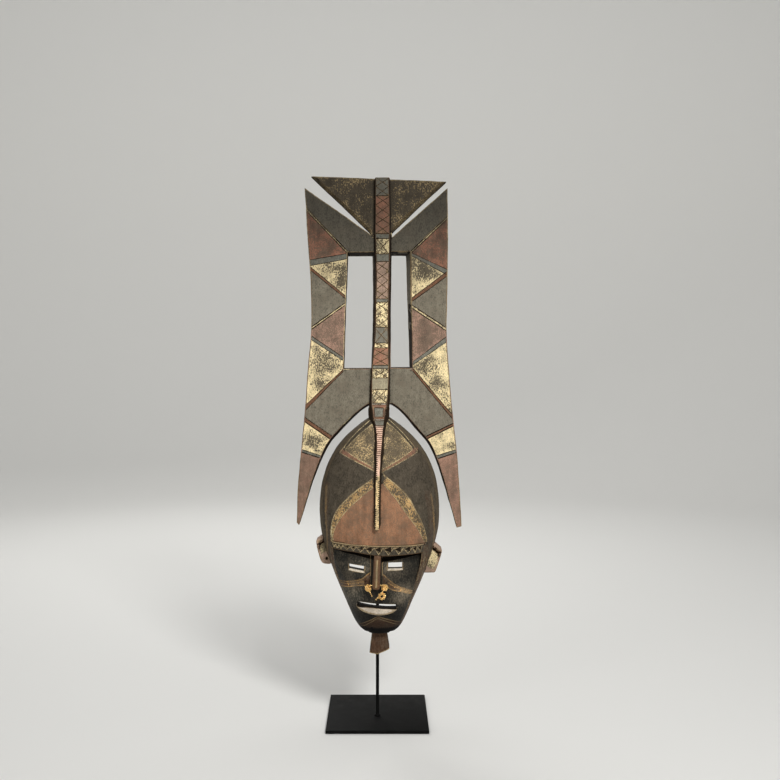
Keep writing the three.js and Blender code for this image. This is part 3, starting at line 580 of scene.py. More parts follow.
def pattern_skin(pattern, front, back, waists=(), rows=2):
    """Closed skin from a pattern's front face over its walls to its back face.

    A face is given by its y, one for all points or one for each, or else by its points.
    """
    def face(flat, given):
        if np.ndim(given) == 2:
            return given
        return np.column_stack([flat[:, 0], np.broadcast_to(given, len(flat)), flat[:, 1]])

    shown = face(pattern.flat, front)
    hidden = face(pattern.flat + pattern.shift, back)
    rim = np.unique(np.array(pattern.rim))
    order = {int(v): i for i, v in enumerate(rim)}
    rings = [shown[rim]]
    rings += [waist[rim] for waist in waists]
    rings.append(hidden[rim])
    between = []
    for first, second in zip(rings[:-1], rings[1:]):
        between += [first + (second - first) * k / (rows + 1) for k in range(1, rows + 1)]
        between.append(second)
    between = between[:-1]
    points = [shown, hidden] + between
    count = len(shown)
    faces = [tuple(t) for t in pattern.triangles]
    faces += [tuple(t[::-1] + count) for t in pattern.triangles]
    ring_start = [2 * count + k * len(rim) for k in range(len(between))]
    for a, b in pattern.rim:
        column_a = [a] + [s + order[int(a)] for s in ring_start] + [a + count]
        column_b = [b] + [s + order[int(b)] for s in ring_start] + [b + count]
        for k in range(len(column_a) - 1):
            faces.append((column_b[k], column_a[k], column_a[k + 1], column_b[k + 1]))
    return np.vstack(points), faces


def ring_skin(rings):
    """Closed skin over rings of equal length, with a fan at each end."""
    count = len(rings[0])
    points = np.vstack(list(rings) + [np.mean(rings[0], axis=0), np.mean(rings[-1], axis=0)])
    faces = []
    for r in range(len(rings) - 1):
        for i in range(count):
            j = (i + 1) % count
            faces.append((r * count + i, r * count + j, (r + 1) * count + j, (r + 1) * count + i))
    last = (len(rings) - 1) * count
    for i in range(count):
        j = (i + 1) % count
        faces.append((len(points) - 2, j, i))
        faces.append((len(points) - 1, last + i, last + j))
    return points, faces


def solid(name, skin, tag=None):
    """An object made of a closed skin given in millimetres, with its faces turned out."""
    points, faces = skin
    mesh = bpy.data.meshes.new(name)
    mesh.from_pydata((np.asarray(points) * MM).tolist(), [], [tuple(int(v) for v in f) for f in faces])
    work = bmesh.new()
    work.from_mesh(mesh)
    bmesh.ops.remove_doubles(work, verts=work.verts, dist=1e-5)
    bmesh.ops.triangulate(work, faces=[f for f in work.faces if len(f.verts) > 3])
    bmesh.ops.recalc_face_normals(work, faces=work.faces)
    if work.calc_volume(signed=True) < 0:
        bmesh.ops.reverse_faces(work, faces=work.faces)
    work.to_mesh(mesh)
    work.free()
    mesh.materials.append(tag_material(tag or name))
    made = bpy.data.objects.new(name, mesh)
    bpy.context.collection.objects.link(made)
    return made


def tag_material(name):
    """A plain material that marks which part of the carving a face belongs to."""
    return bpy.data.materials.get("mark_" + name) or bpy.data.materials.new("mark_" + name)


def carve(block, operation, *tools):
    """Joins the tools to the block or cuts them out of it, one after another."""
    for tool in tools:
        cut = block.modifiers.new("carve", "BOOLEAN")
        cut.solver = "MANIFOLD"
        cut.operation = operation
        cut.object = tool
        cut.material_mode = "TRANSFER"
        bake(block)
        spent = tool.data
        bpy.data.objects.remove(tool)
        bpy.data.meshes.remove(spent)
    return block


def bake(thing):
    """Turns what the object's modifiers make into its own plain mesh."""
    bpy.context.view_layer.update()
    graph = bpy.context.evaluated_depsgraph_get()
    made = bpy.data.meshes.new_from_object(
        thing.evaluated_get(graph), preserve_all_data_layers=True, depsgraph=graph)
    thing.modifiers.clear()
    old = thing.data
    thing.data = made
    made.name = thing.name
    if old.users == 0 and isinstance(old, bpy.types.Mesh):
        bpy.data.meshes.remove(old)
    return thing


# The head's skin.
def head_angle(x, z, grow=0.0):
    """How far round the head a point on the front view lies, as a sine."""
    return np.clip((x - HEAD_X) / (read_table(HEAD_TABLE, z, 1) + grow), -1, 1)


def head_front(x, z, grow=0.0):
    """y of the head's front at a point on the front view."""
    widest = read_table(HEAD_TABLE, z, 4)
    depth = widest - read_table(HEAD_TABLE, z, 2) + grow
    share = np.abs(head_angle(x, z, grow)) ** ROUNDNESS
    return widest - depth * (1 - share) ** (1 / ROUNDNESS)


def unrolled(points):
    """Points of the front view on the unrolled front of the head."""
    p = np.asarray(points, float)
    half = read_table(HEAD_TABLE, p[:, 1], 1)
    return np.column_stack([np.arcsin(head_angle(p[:, 0], p[:, 1])) * half * HEAD_SPREAD, p[:, 1]])


def head_blank(spacing, cut):
    """The egg-shaped block of the head with the dome's lines cut into it."""
    z = np.arange(HEAD[0][0], HEAD[-1][0] + 0.1, 4.0)
    z[-1] = HEAD[-1][0]
    half = read_table(HEAD_TABLE, z, 1) * HEAD_SPREAD * math.pi / 2
    left = np.column_stack([-half, z])
    right = np.column_stack([half, z])[::-1]
    loop = closed(left, right, (0, 0), 4.0)
    lines = []
    for side in DOME.values():
        for name in ("sector", "sector_inner", "band_top", "band_foot", "arc_top", "arc_foot"):
            lines.append((unrolled(smooth_line(side[name], 6)), *cut))
    lines += [(unrolled(line), width, depth) for line, width, depth in face_cuts(cut)]
    pattern = Pattern([loop], lines, spacing)

    u, z = pattern.flat.T
    half = np.maximum(read_table(HEAD_TABLE, z, 1), 1e-3)
    sine = np.sin(np.clip(u / (half * HEAD_SPREAD), -math.pi / 2, math.pi / 2))
    share = (1 - np.abs(sine) ** ROUNDNESS) ** (1 / ROUNDNESS)
    widest = read_table(HEAD_TABLE, z, 4)
    faces = []
    for column, groove in ((2, pattern.groove), (3, 0)):
        y = widest + (read_table(HEAD_TABLE, z, column) - widest) * share
        faces.append(np.column_stack([HEAD_X + half * sine, y + groove, z]))
    return solid("head", pattern_skin(pattern, *faces, rows=0))


def oval_rings(table, levels, count):
    """Rings of a hollow, a little uneven as the gouge left it."""
    rings = []
    for z in np.linspace(table[0, 0], table[-1, 0], levels):
        half, front, rear, widest = (read_table(table, z, k) for k in (1, 2, 3, 4))
        ring = []
        for i in range(count):
            angle = 2 * math.pi * i / count
            c, s = math.cos(angle), math.sin(angle)
            reach = rear - widest if s > 0 else widest - front
            x = HEAD_X + math.copysign(abs(c) ** (2 / ROUNDNESS), c) * half
            y = widest + math.copysign(abs(s) ** (2 / ROUNDNESS), s) * reach
            cell = noise.voronoi(Vector((x / 22, y / 22, z / 30)))[0][0]
            pull = 1 - (0.9 - cell) * 1.6 / max(half, 20)
            ring.append((HEAD_X + (x - HEAD_X) * pull, widest + (y - widest) * pull, z))
        rings.append(np.array(ring))
    return rings


# The plank.
def signed(points, sign):
    """Points measured outwards from the middle line, put on the given side."""
    return np.asarray(points, float) * (sign, 1)


def side_outline(sign, edge):
    """One side of the plank from the cap's tip down to the neck, as stretches of outline."""
    side = SIDES[sign]
    pieces = [
        (np.array([side["cap"], side["notch_top"]]), None, (5.2, 5.6)),
        (np.array([side["notch_top"], side["notch_foot"]]), None, (0.6, 0.6)),
        (np.array([side["notch_foot"], side["arm"]]), None, edge),
        (smooth_line([side["arm"], *side["edge"], side["horn"][0]]), None, edge),
        (np.array(side["horn"]), None, edge),
    ]
    arch = smooth_line([side["horn"][1], *side["arch"]])
    place = np.arange(len(arch)) / 12
    share = np.clip((place - 1) / (len(side["arch"]) - 1), 0, 1)
    lean = np.where(place < 1, place * ARCH_LEAN[0],
                    ARCH_LEAN[0] + (ARCH_LEAN[1] - ARCH_LEAN[0]) * np.minimum(1, 2 * share))
    ahead = np.gradient(arch, axis=0)
    ahead /= np.linalg.norm(ahead, axis=1)[:, None]
    front = arch + np.column_stack([ahead[:, 1], -ahead[:, 0]]) * lean[:, None]
    pieces.append((front, arch, (0.8, 0.7)))
    return [(signed(f, sign), None if b is None else signed(b, sign), bevel) for f, b, bevel in pieces]


def window_edge(side, z):
    """How far out the window's outer edge lies at height z."""
    top, foot = side["window"][1:3]
    return top[0] + (foot[0] - top[0]) * (top[1] - z) / (top[1] - foot[1])


def side_lines(side):
    """The lines of one side: name, how far out and how high the outer end lies, then the inner."""
    rows = [(name, PLANK_REACH, outer, window_edge(side, inner), inner)
            for name, outer, inner in side["lines"]]
    return rows + [(name, HORN_REACH, outer, arch, inner)
                   for name, outer, inner, arch in side["horn_lines"]]


def plank_cuts(width, depth):
    """Lines cut into the plank's front, with their width and depth."""
    cuts = []
    for sign, side in SIDES.items():
        rows = side_lines(side)
        twins = {name.replace("_inlay", "") for name, *_ in rows if name.endswith("_inlay")}
        for name, reach, outer, x, inner in rows:
            share = 0.8 if name.replace("_inlay", "") in twins else 0.55
            cuts.append(([(sign * reach, outer), (sign * x, inner)], width * share, depth * share))
    return cuts


def plank_loops(edge):
    """The plank's outline and its two windows."""
    left = side_outline(-1, edge)
    right = side_outline(1, edge)
    runs = [stretch(f, b, bevel) for f, b, bevel in left]
    runs.append(stretch([left[-1][0][-1], right[-1][0][-1]], [left[-1][1][-1], right[-1][1][-1]], (0, 0)))
    for f, b, bevel in reversed(right):
        runs.append(stretch(f[::-1], None if b is None else b[::-1], bevel))
    runs.append(stretch([right[0][0][0], left[0][0][0]], None, edge))
    loops = [np.vstack(runs)]
    for sign, side in SIDES.items():
        corners = signed(side["window"], sign)
        behind = signed(side["window_back"], sign)
        loops.append(np.vstack([
            stretch([corners[i], corners[(i + 1) % 4]], [behind[i], behind[(i + 1) % 4]], (1.1, 0.8))
            for i in range(4)]))
    return loops


def plank_blank(spacing, edge, cut):
    """The openwork plank with its windows, arches, notches and lines."""
    pattern = Pattern(plank_loops(edge), plank_cuts(*cut), spacing)

    front = PLANK_FRONT + np.maximum(pattern.groove, pattern.bevel)
    back = PLANK_BACK - pattern.bevel.clip(0, 1.5)
    return solid("plank", pattern_skin(pattern, front, back, rows=3))


# The crest and the ridge.
def crest_cuts(width, depth):
    """The panels' borders and crossings on the crest, down to where the ladder starts."""
    cuts = []
    top = 1002.0
    for foot, crossings, _ in CREST_PANELS:
        middle, half = read_table(CREST_TABLE, foot, 1), read_table(CREST_TABLE, foot, 2)
        cuts.append(([(middle - half - 2, foot), (middle + half + 2, foot)], width, depth))
        for i in range(crossings):
            high = top - i * (top - foot) / crossings
            low = top - (i + 1) * (top - foot) / crossings
            for turn in (-1, 1):
                slip = 1.4 * math.sin(foot * 1.7 + i * 2.3 + turn)
                start = (middle - turn * half * 0.9, high + slip - 0.6)
                end = (middle + turn * half * 0.86, low - slip * 0.5 + 0.6)
                cuts.append(([start, end], width * 0.8, depth * 0.8))
        top = foot
    middle, half = read_table(CREST_TABLE, 570, 1), read_table(CREST_TABLE, 570, 2)
    inset = [(middle - half + 3, 578), (middle + half - 3, 578), (middle + half - 3.6, 562),
             (middle - half + 3.6, 562), (middle - half + 3, 578)]
    cuts += [(pair, width, depth) for pair in zip(inset[:-1], inset[1:])]
    return cuts


def crest_blank(spacing, edge, cut):
    """The crest down the middle of the plank and the ridge that runs on over the forehead."""
    def line(side):
        z = np.concatenate([[368, 369, 371, 373], np.arange(377, 1002, 4.0), [1002]])
        half = read_table(CREST_TABLE, z, 2)
        half[:4] = (1.2, 2.8, 4.0, 4.5)
        return np.column_stack([read_table(CREST_TABLE, z, 1) + side * half, z])

    left, right = line(-1), line(1)[::-1]
    bevel = (edge[0] * 0.8, edge[1] * 0.8)
    pattern = Pattern([closed(left, right, bevel, 3.5)], crest_cuts(*cut), spacing)

    x, z = pattern.flat.T
    middle, half, wide, y, rear = (read_table(CREST_TABLE, z, column) for column in range(1, 6))
    front = y + np.maximum(pattern.groove, pattern.bevel)
    waist_y = np.maximum(y + 12, np.interp(z, [500, 560], [-90, -30]))
    waist = np.column_stack([middle + (x - middle) * (wide / half), waist_y, z])
    back = np.column_stack([middle + (x - middle) * (wide * 0.7 / half), rear, z])
    return solid("crest", pattern_skin(pattern, front, back, [waist]))


# Rows of cuts, made with nodes.
def node_tree(name, inputs):
    """An empty geometry tree with the given inputs: name, socket type, default."""
    tree = bpy.data.node_groups.new(name, "GeometryNodeTree")
    tree.interface.new_socket("Geometry", in_out="INPUT", socket_type="NodeSocketGeometry")
    for label, kind, value in inputs:
        socket = tree.interface.new_socket(label, in_out="INPUT", socket_type=kind)
        if value is not None:
            socket.default_value = value
    tree.interface.new_socket("Geometry", in_out="OUTPUT", socket_type="NodeSocketGeometry")
    return tree


def wire(tree, kind, values=None, **settings):
    """Adds a node, sets its properties, and sets or links its inputs."""
    node = tree.nodes.new(kind)
    for key, value in settings.items():
        setattr(node, key, value)
    for key, value in (values or {}).items():
        socket = node.inputs[key]
        if isinstance(value, bpy.types.NodeSocket):
            tree.links.new(value, socket)
        else:
            socket.default_value = tuple(value) if isinstance(value, np.ndarray) else value
    return node


def close_tree(tree, geometry, finish):
    """Ends a tree: its instances made real, with their material."""
    real = wire(tree, "GeometryNodeRealizeInstances", {"Geometry": geometry})
    ready = wire(tree, "GeometryNodeSetMaterial", {"Geometry": real.outputs[0], "Material": finish})
    wire(tree, "NodeGroupOutput", {"Geometry": ready.outputs[0]})
    return tree


def run_tree(thing, tree, values):
    """Runs a geometry tree on the object with the given inputs and keeps its result as a mesh."""
    modifier = thing.modifiers.new(tree.name, "NODES")
    modifier.node_group = tree
    for item in tree.interface.items_tree:
        if item.in_out == "INPUT" and item.name in values:
            modifier[item.identifier] = values[item.name]
    return bake(thing)


def row_of_cuts_tree():
    """Three-sided cutters on the points of a line: lying across it, or pointing into the wood."""
    tree = node_tree("row_of_cuts", [
        ("Radius", "NodeSocketFloat", 0.001), ("Length", "NodeSocketFloat", 0.03),
        ("Across", "NodeSocketBool", True), ("Mark", "NodeSocketMaterial", None)])
    given = tree.nodes.new("NodeGroupInput")
    line = wire(tree, "GeometryNodeMeshToCurve", {"Mesh": given.outputs["Geometry"]})
    prism = wire(tree, "GeometryNodeMeshCylinder", {
        "Vertices": 3, "Radius": given.outputs["Radius"], "Depth": given.outputs["Length"]})
    tangent = tree.nodes.new("GeometryNodeInputTangent")
    inward = wire(tree, "ShaderNodeVectorMath", {
        0: tangent.outputs[0], 1: (-1.0, 0.0, 0.0)}, operation="CROSS_PRODUCT")
    turns = []
    for long_way, point in (((0.0, -1.0, 0.0), (0.0, 0.0, -1.0)), ((1.0, 0.0, 0.0), inward.outputs[0])):
        turn = wire(tree, "FunctionNodeAlignRotationToVector", {"Vector": long_way}, axis="Z")
        turns.append(wire(tree, "FunctionNodeAlignRotationToVector", {
            "Rotation": turn.outputs[0], "Vector": point}, axis="Y", pivot_axis="Z").outputs[0])
    turn = wire(tree, "GeometryNodeSwitch", {
        "Switch": given.outputs["Across"], "False": turns[0], "True": turns[1]}, input_type="ROTATION")
    size = wire(tree, "GeometryNodeInputNamedAttribute", {"Name": "size"}, data_type="FLOAT_VECTOR")
    row = wire(tree, "GeometryNodeInstanceOnPoints", {
        "Points": line.outputs[0], "Instance": prism.outputs["Mesh"], "Rotation": turn.outputs[0],
        "Scale": size.outputs[0]})
    return close_tree(tree, row.outputs[0], given.outputs["Mark"])


def bare_line(name, line):
    """An object that is only a line through points given in millimetres."""
    mesh = bpy.data.meshes.new(name)
    line = np.asarray(line, float) * MM
    mesh.from_pydata(line.tolist(), [(i, i + 1) for i in range(len(line) - 1)], [])
    made = bpy.data.objects.new(name, mesh)
    bpy.context.collection.objects.link(made)
    return made


def cutters_along(name, line, sizes, values):
    """Cutters on the points of a line given in millimetres, as one object."""
    made = bare_line(name, line)
    size = made.data.attributes.new("size", "FLOAT_VECTOR", "POINT")
    size.data.foreach_set("vector", np.asarray(sizes, np.float32).ravel())
    tree = bpy.data.node_groups.get("row_of_cuts") or row_of_cuts_tree()
    return run_tree(made, tree, {**values, "Mark": tag_material(name)})


def ladder_cutters():
    """Wedges for the notches across the ridge, and lower down for nicks at its two edges."""
    z = np.arange(LADDER["top"], LADDER["foot"], -LADDER["pitch"])
    radius = LADDER["depth"]
    y, middle, half = (read_table(CREST_TABLE, z, column) for column in (4, 1, 2))
    slope = np.gradient(y, z)
    out = radius * 0.15 / np.sqrt(1 + slope ** 2)
    nick = z < LADDER["full"]
    turn = np.where(np.sin(z * 1.9) > -0.3, -1, 1)
    line = np.column_stack([middle + nick * turn * half * 0.66, y - out, z + out * slope])
    sizes = np.column_stack([np.where(nick, 1.1, 1), np.where(nick, 1.1, 1), np.where(nick, 0.11, 1)])
    return cutters_along("ladder", line, sizes, {
        "Radius": radius * MM, "Length": 0.032, "Across": True})


def brow_line(name, x):
    """z of the brow's foot or top at x."""
    return np.interp(x, *np.array(BROW[name], float).T)


def zigzag_line():
    """The zigzag of the brow on the front view: along the top, down to a point, and up again."""
    tops = ZIGZAG["tops"]
    points = []
    for left, right in zip(tops[:-1], tops[1:]):
        middle = (left + right) / 2
        points += [(left, brow_line("top", left) - 3.4), (middle, brow_line("foot", middle) + 2.6)]
    return points + [(tops[-1], brow_line("top", tops[-1]) - 3.4)]


def zigzag_cutters():
    """Triangles for the row sunk into the brow, each with its point down."""
    tops = np.array(ZIGZAG["tops"])
    x = (tops[:-1] + tops[1:]) / 2
    high = brow_line("top", x) - 3.4
    tall = (high - brow_line("foot", x) - 2.6).clip(4) - 2.6
    wide = np.diff(tops) - 2.6
    middle = high - tall / 3
    y = head_front(x, middle, BROW["proud"])
    slant = np.abs(np.gradient(y, x))
    sizes = np.column_stack([wide / math.sqrt(3), tall / 1.5, 1 + slant * wide / 6])
    keep = wide > 1.5
    return cutters_along("zigzag", np.column_stack([x, y, middle])[keep], sizes[keep], {
        "Radius": MM, "Length": 2 * ZIGZAG["depth"] * MM, "Across": False})


# The face.
def brow_blank(spacing):
    """The band across the brow, lower in the middle than at its left end."""
    foot = np.array(BROW["foot"], float)
    top = np.array(BROW["top"], float)[::-1]
    loop = closed(foot, top, (1.2, 1.0), 3.0)
    zigzag = zigzag_line()
    cuts = [(pair, ZIGZAG["band"], 0) for pair in zip(zigzag[:-1], zigzag[1:])]
    cuts.append(([(x, z - 2.3) for x, z in BROW["top"]], 0.9, 0.6))
    pattern = Pattern([loop], cuts, spacing)

    x, z = pattern.flat.T
    front = head_front(x, z, BROW["proud"]) + np.maximum(pattern.bevel, pattern.groove)
    return solid("brow", pattern_skin(pattern, front, head_front(x, z) + 12))


def under_brow(x):
    """z above which the face falls back below the brow."""
    return np.interp(x, *np.array(UNDER_BROW).T)


def field_floor(x, z):
    """y of the face under the brow."""
    drop = np.interp(z, [165, 215, 240, 340], [9, -2, 0, 0])
    return -104 + (x + 1.5) ** 2 / 250 + drop + np.clip(z - under_brow(x), 0, 5)


def face_cuts(cut):
    """The lines on the cheeks and the chin."""
    cuts = [(smooth_line(line, 5), *cut) for side in CHEEKS.values() for line in side.values()]
    return cuts + [(smooth_line(line, 5), cut[0] * 0.9, cut[1] * 0.8) for line in CHIN_LINES]


def field_outline():
    """The outline of the sunk face, under the brow's foot."""
    left = smooth_line(FIELD_LEFT, 4)
    right = smooth_line([FIELD_FOOT, *FIELD_RIGHT], 4)
    top = [(x, z) for x, z in BROW["foot"][::-1] if -80 < x < 76]
    left[0, 1], right[-1, 1] = brow_line("foot", [left[0, 0], right[-1, 0]])
    return left, right, np.array([right[-1], *top, left[0]])


def field_cutter(spacing, cut):
    """What is cut away in front of the face, with the face's own lines on its back."""
    left, right, top = field_outline()
    plain = dict(bevel=(0, 0), step=4.0)
    loop = np.vstack([
        stretch(left, **plain), stretch([left[-1], right[0]], **plain), stretch(right, **plain),
        stretch(top, **plain)])
    fold = (np.array(UNDER_BROW, float), 0.8, 0)
    pattern = Pattern([loop], face_cuts(cut) + [fold], spacing)

    floor = field_floor(*pattern.flat.T) + pattern.groove
    return solid("field", pattern_skin(pattern, -150.0, floor, rows=1))


def nose_blank():
    """The rounded bar of the nose."""
    rings = []
    for z, front, half in smooth_line(NOSE, 3):
        middle = NOSE_X + np.interp(z, [264, 325], [-0.7, 2.1])
        ring = []
        for i in range(17):
            angle = math.pi * i / 16
            ring.append((middle - half * math.cos(angle), front + 7 * half / 8 * (1 - math.sin(angle)), z))
        ring += [(middle + half, -92, z), (middle - half, -92, z)]
        rings.append(np.array(ring))
    return solid("nose", ring_skin(rings))


def nose_base_blank():
    """The low step on which the nose stands."""
    corners = [(-12.4, 264), (9.2, 264), (9.6, 323), (-12.8, 323)]
    loop = np.vstack([
        stretch([corners[i], corners[(i + 1) % 4]], None, (1.4, 1.3), 3.0) for i in range(4)])
    pattern = Pattern([loop], (), 5.0)

    front = field_floor(*pattern.flat.T) - 2.6 + pattern.bevel
    return solid("nose_base", pattern_skin(pattern, front, -94.0, rows=1))


def mouth_line(x, drop):
    """z of the mouth's lower edge, less a bow that hangs from its corners."""
    (left, high), (right, low), height = SLOTS["mouth"][:3]
    t = np.clip((x - left) / (right - left), 0.002, 0.998)
    return high + (low - high) * t - height - drop * np.sin(math.pi * t) ** 0.6


def lip_blank():
    """The shelf of the lower lip."""
    left, right = SLOTS["mouth"][0][0] - 1.5, SLOTS["mouth"][1][0] + 1.5
    x = np.linspace(left, right, 25)
    lower = np.column_stack([x, mouth_line(x, LIP_DROP)])
    lower[0, 1] += 0.5
    lower[-1, 1] += 0.5
    upper = np.column_stack([x, mouth_line(x, 0) + 4])[::-1]
    loop = np.vstack([
        stretch(lower, None, (2.6, 2.4), 2.6), stretch([lower[-1], upper[0]], None, (2.6, 2.4), 2.6),
        stretch(upper, None, (0, 0), 2.6), stretch([upper[-1], lower[0]], None, (2.6, 2.4), 2.6)])
    pattern = Pattern([loop], (), 2.8)

    x, z = pattern.flat.T
    share = np.clip((mouth_line(x, 0) + 1 - z) / 11, 0, 1)
    front = -105.2 - 5 * np.sin(share * math.pi / 2) + pattern.bevel
    return solid("lip", pattern_skin(pattern, front, -92.0, rows=1))


def slot_cutter(name):
    """A slot that widens at its front, so that its lower edge is a sloping sill."""
    (left, high), (right, low), height, drop, spread = SLOTS[name]
    rings = []
    for behind, opened in ((-40, 1), (SILL_DEPTH, 0), (50, 0)):
        reach, fall = spread * opened, height + drop * opened
        near, far = field_floor(left, high) + behind, field_floor(right, low) + behind
        rings.append(np.array([(left - reach, near, high), (right + reach, far, low),
                               (right + reach, far, low - fall), (left - reach, near, high - fall)]))
    return solid(name, ring_skin(rings), "slot")


def bore(name, centre, radius, axis, length=60.0, tag="slot"):
    """A round cutter along x or y."""
    rings = []
    for end in (-0.5, 0.5):
        ring = []
        for i in range(20):
            a, b = radius * math.cos(math.pi * i / 10), radius * math.sin(math.pi * i / 10)
            ring.append((end * length, a, b) if axis == "x" else (a, end * length, b))
        rings.append(np.array(ring) + np.array(centre))
    return solid(name, ring_skin(rings), tag)


def behind_rim():
    """Everything behind the slanting rim."""
    (y0, z0), (y1, z1) = RIM
    slope = (y1 - y0) / (z1 - z0)
    rings = []
    for x in (-300, 300):
        rings.append(np.array([
            (x, y0 + (120 - z0) * slope, 120), (x, 300, 120), (x, 300, 530),
            (x, y0 + (530 - z0) * slope, 530)]))
    return solid("rim", ring_skin(rings))


def ear_blank(sign):
    """An ear: a roof, a scoop under it and a panel that rises out of the scoop."""
    ear = EARS[sign]
    outline = np.array(ear["outline"] + ear["outline"][:1], float)
    loop = stretch(outline, None, (1.6, 1.6), 2.6)
    pattern = Pattern([loop], (), 3.0)
    roof = np.array(ear["roof"], float)
    rim = np.array([p for p in ear["outline"] if abs(p[0]) > 101], float)

    x, z = pattern.flat.T
    below = np.interp(x, roof[:, 0], roof[:, 1]) - z
    y = np.interp(below, [0, 6, 9.5, 13, 17, 36, 60], [-50, -50, -42, -42, -47.5, -49.5, -49])
    margin = nearest(pattern.flat, rim[:-1], rim[1:])[0]
    y = np.where(below > 7, np.minimum(y, np.interp(margin, [2.2, 4.2], [-50, -38])), y)
    skin = pattern_skin(pattern, y + pattern.bevel, -20.0 - pattern.bevel * 0.8, rows=3)
    made = solid("ear_left" if sign < 0 else "ear_right", skin, "ear")
    if ear["hole"]:
        x, z = ear["hole"]
        carve(made, "DIFFERENCE", bore("ear_hole", (x, -35, z), 2.7, "y", tag="ear"))
    return made


def grip_blank():
    """The peg under the chin, wider at its slanted foot."""
    outline = np.array(GRIP + GRIP[:1], float)
    pattern = Pattern([stretch(outline, None, (2.0, 2.0), 3.0)], (), 4.0)

    front = -76 + 0.012 * (pattern.flat[:, 0] - 3) ** 2 + pattern.bevel
    return solid("grip", pattern_skin(pattern, front, -46.0 - pattern.bevel, rows=4))


# Surface.
def read_rows(items, name, width=1, kind=float):
    """One value of all points, edges, faces or corners of a mesh, a row for each."""
    values = np.empty(len(items) * width, kind)
    items.foreach_get(name, values)
    return values.reshape(-1, width) if width > 1 else values


def weather(thing, height):
    """Moves the points a little, as the adze and the years did, and keeps them in the node's box."""
    mesh = thing.data
    points = read_rows(mesh.vertices, "co", 3)
    move = np.empty_like(points)
    noise.seed_set(TOOL_MARK_SEED)
    for i, point in enumerate(points):
        place = Vector(point)
        move[i] = (noise.noise_vector(place * 16) * 0.9 + noise.noise_vector(place * 55) * 0.7
                   + noise.noise_vector(place * 150) * 0.25)
    points += move * height
    low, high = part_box("mask")
    points = np.clip(points, np.array(low), np.array(high))
    mesh.vertices.foreach_set("co", points.ravel())
    mesh.update()


def face_table(mesh):
    """Centres in millimetres and normals of a mesh's faces."""
    return read_rows(mesh.polygons, "center", 3) / MM, read_rows(mesh.polygons, "normal", 3)


def edge_relief(mesh):
    """For each point how sharp an edge it lies on: above 0 on ridges, below 0 in grooves."""
    centres, normals = face_table(mesh)
    edge_of = read_rows(mesh.loops, "edge_index", kind=int)
    totals = read_rows(mesh.polygons, "loop_total", kind=int)
    face_of = np.repeat(np.arange(len(mesh.polygons)), totals)
    order = np.argsort(edge_of, kind="stable")
    edges, faces = edge_of[order], face_of[order]
    paired = edges[:-1] == edges[1:]
    edge, a, b = edges[:-1][paired], faces[:-1][paired], faces[1:][paired]
    bend = np.arccos(np.clip((normals[a] * normals[b]).sum(1), -1, 1))
    sign = np.where(((centres[b] - centres[a]) * normals[a]).sum(1) < 0, 1, -1)
    ends = read_rows(mesh.edges, "vertices", 2, int)[edge]
    value = sign * np.clip((bend - 0.25) / 0.8, 0, 1)
    ridge, hollow = np.zeros(len(mesh.vertices)), np.zeros(len(mesh.vertices))
    for side in (0, 1):
        np.maximum.at(ridge, ends[:, side], value)
        np.minimum.at(hollow, ends[:, side], value)
    return np.where(-hollow > ridge * 0.8, hollow, ridge)


def between_lines(points, upper, lower):
    """Which points of the front view lie under the upper line and over the lower one."""
    upper, lower = (np.asarray(sorted(map(tuple, line)), float) for line in (upper, lower))
    x, z = points[:, 0], points[:, 1]
    within = (x > min(upper[0, 0], lower[0, 0])) & (x < max(upper[-1, 0], lower[-1, 0]))
    return (within & (z < np.interp(x, upper[:, 0], upper[:, 1]))
            & (z > np.interp(x, lower[:, 0], lower[:, 1])))


def on_line(points, line, reach):
    """Which points of the front view lie within reach of the line."""
    line = np.asarray(line, float)
    return nearest(points, line[:-1], line[1:])[0] < reach


def in_cuts(points, cuts):
    """Which points of the front view lie in one of the cuts."""
    found = np.zeros(len(points), bool)
    for line, width, _ in cuts:
        found |= on_line(points, line, width * 0.47)
    return found


class Paint:
    """What each face is painted with: colour, paint left, bare spots, their depth, and polish."""

    def __init__(self, count, colours):
        self.colours = colours
        self.colour = np.zeros((count, 3))
        self.cover, self.spots, self.depth, self.polish = np.zeros((4, count))
        self.tone = np.ones(count)

    def coat(self, where, colour, cover=0.9, spots=0.0, depth=0.85, polish=0.0):
        self.colour[where] = self.colours[colour]
        self.cover[where], self.spots[where] = cover, spots
        self.depth[where], self.polish[where] = depth, polish


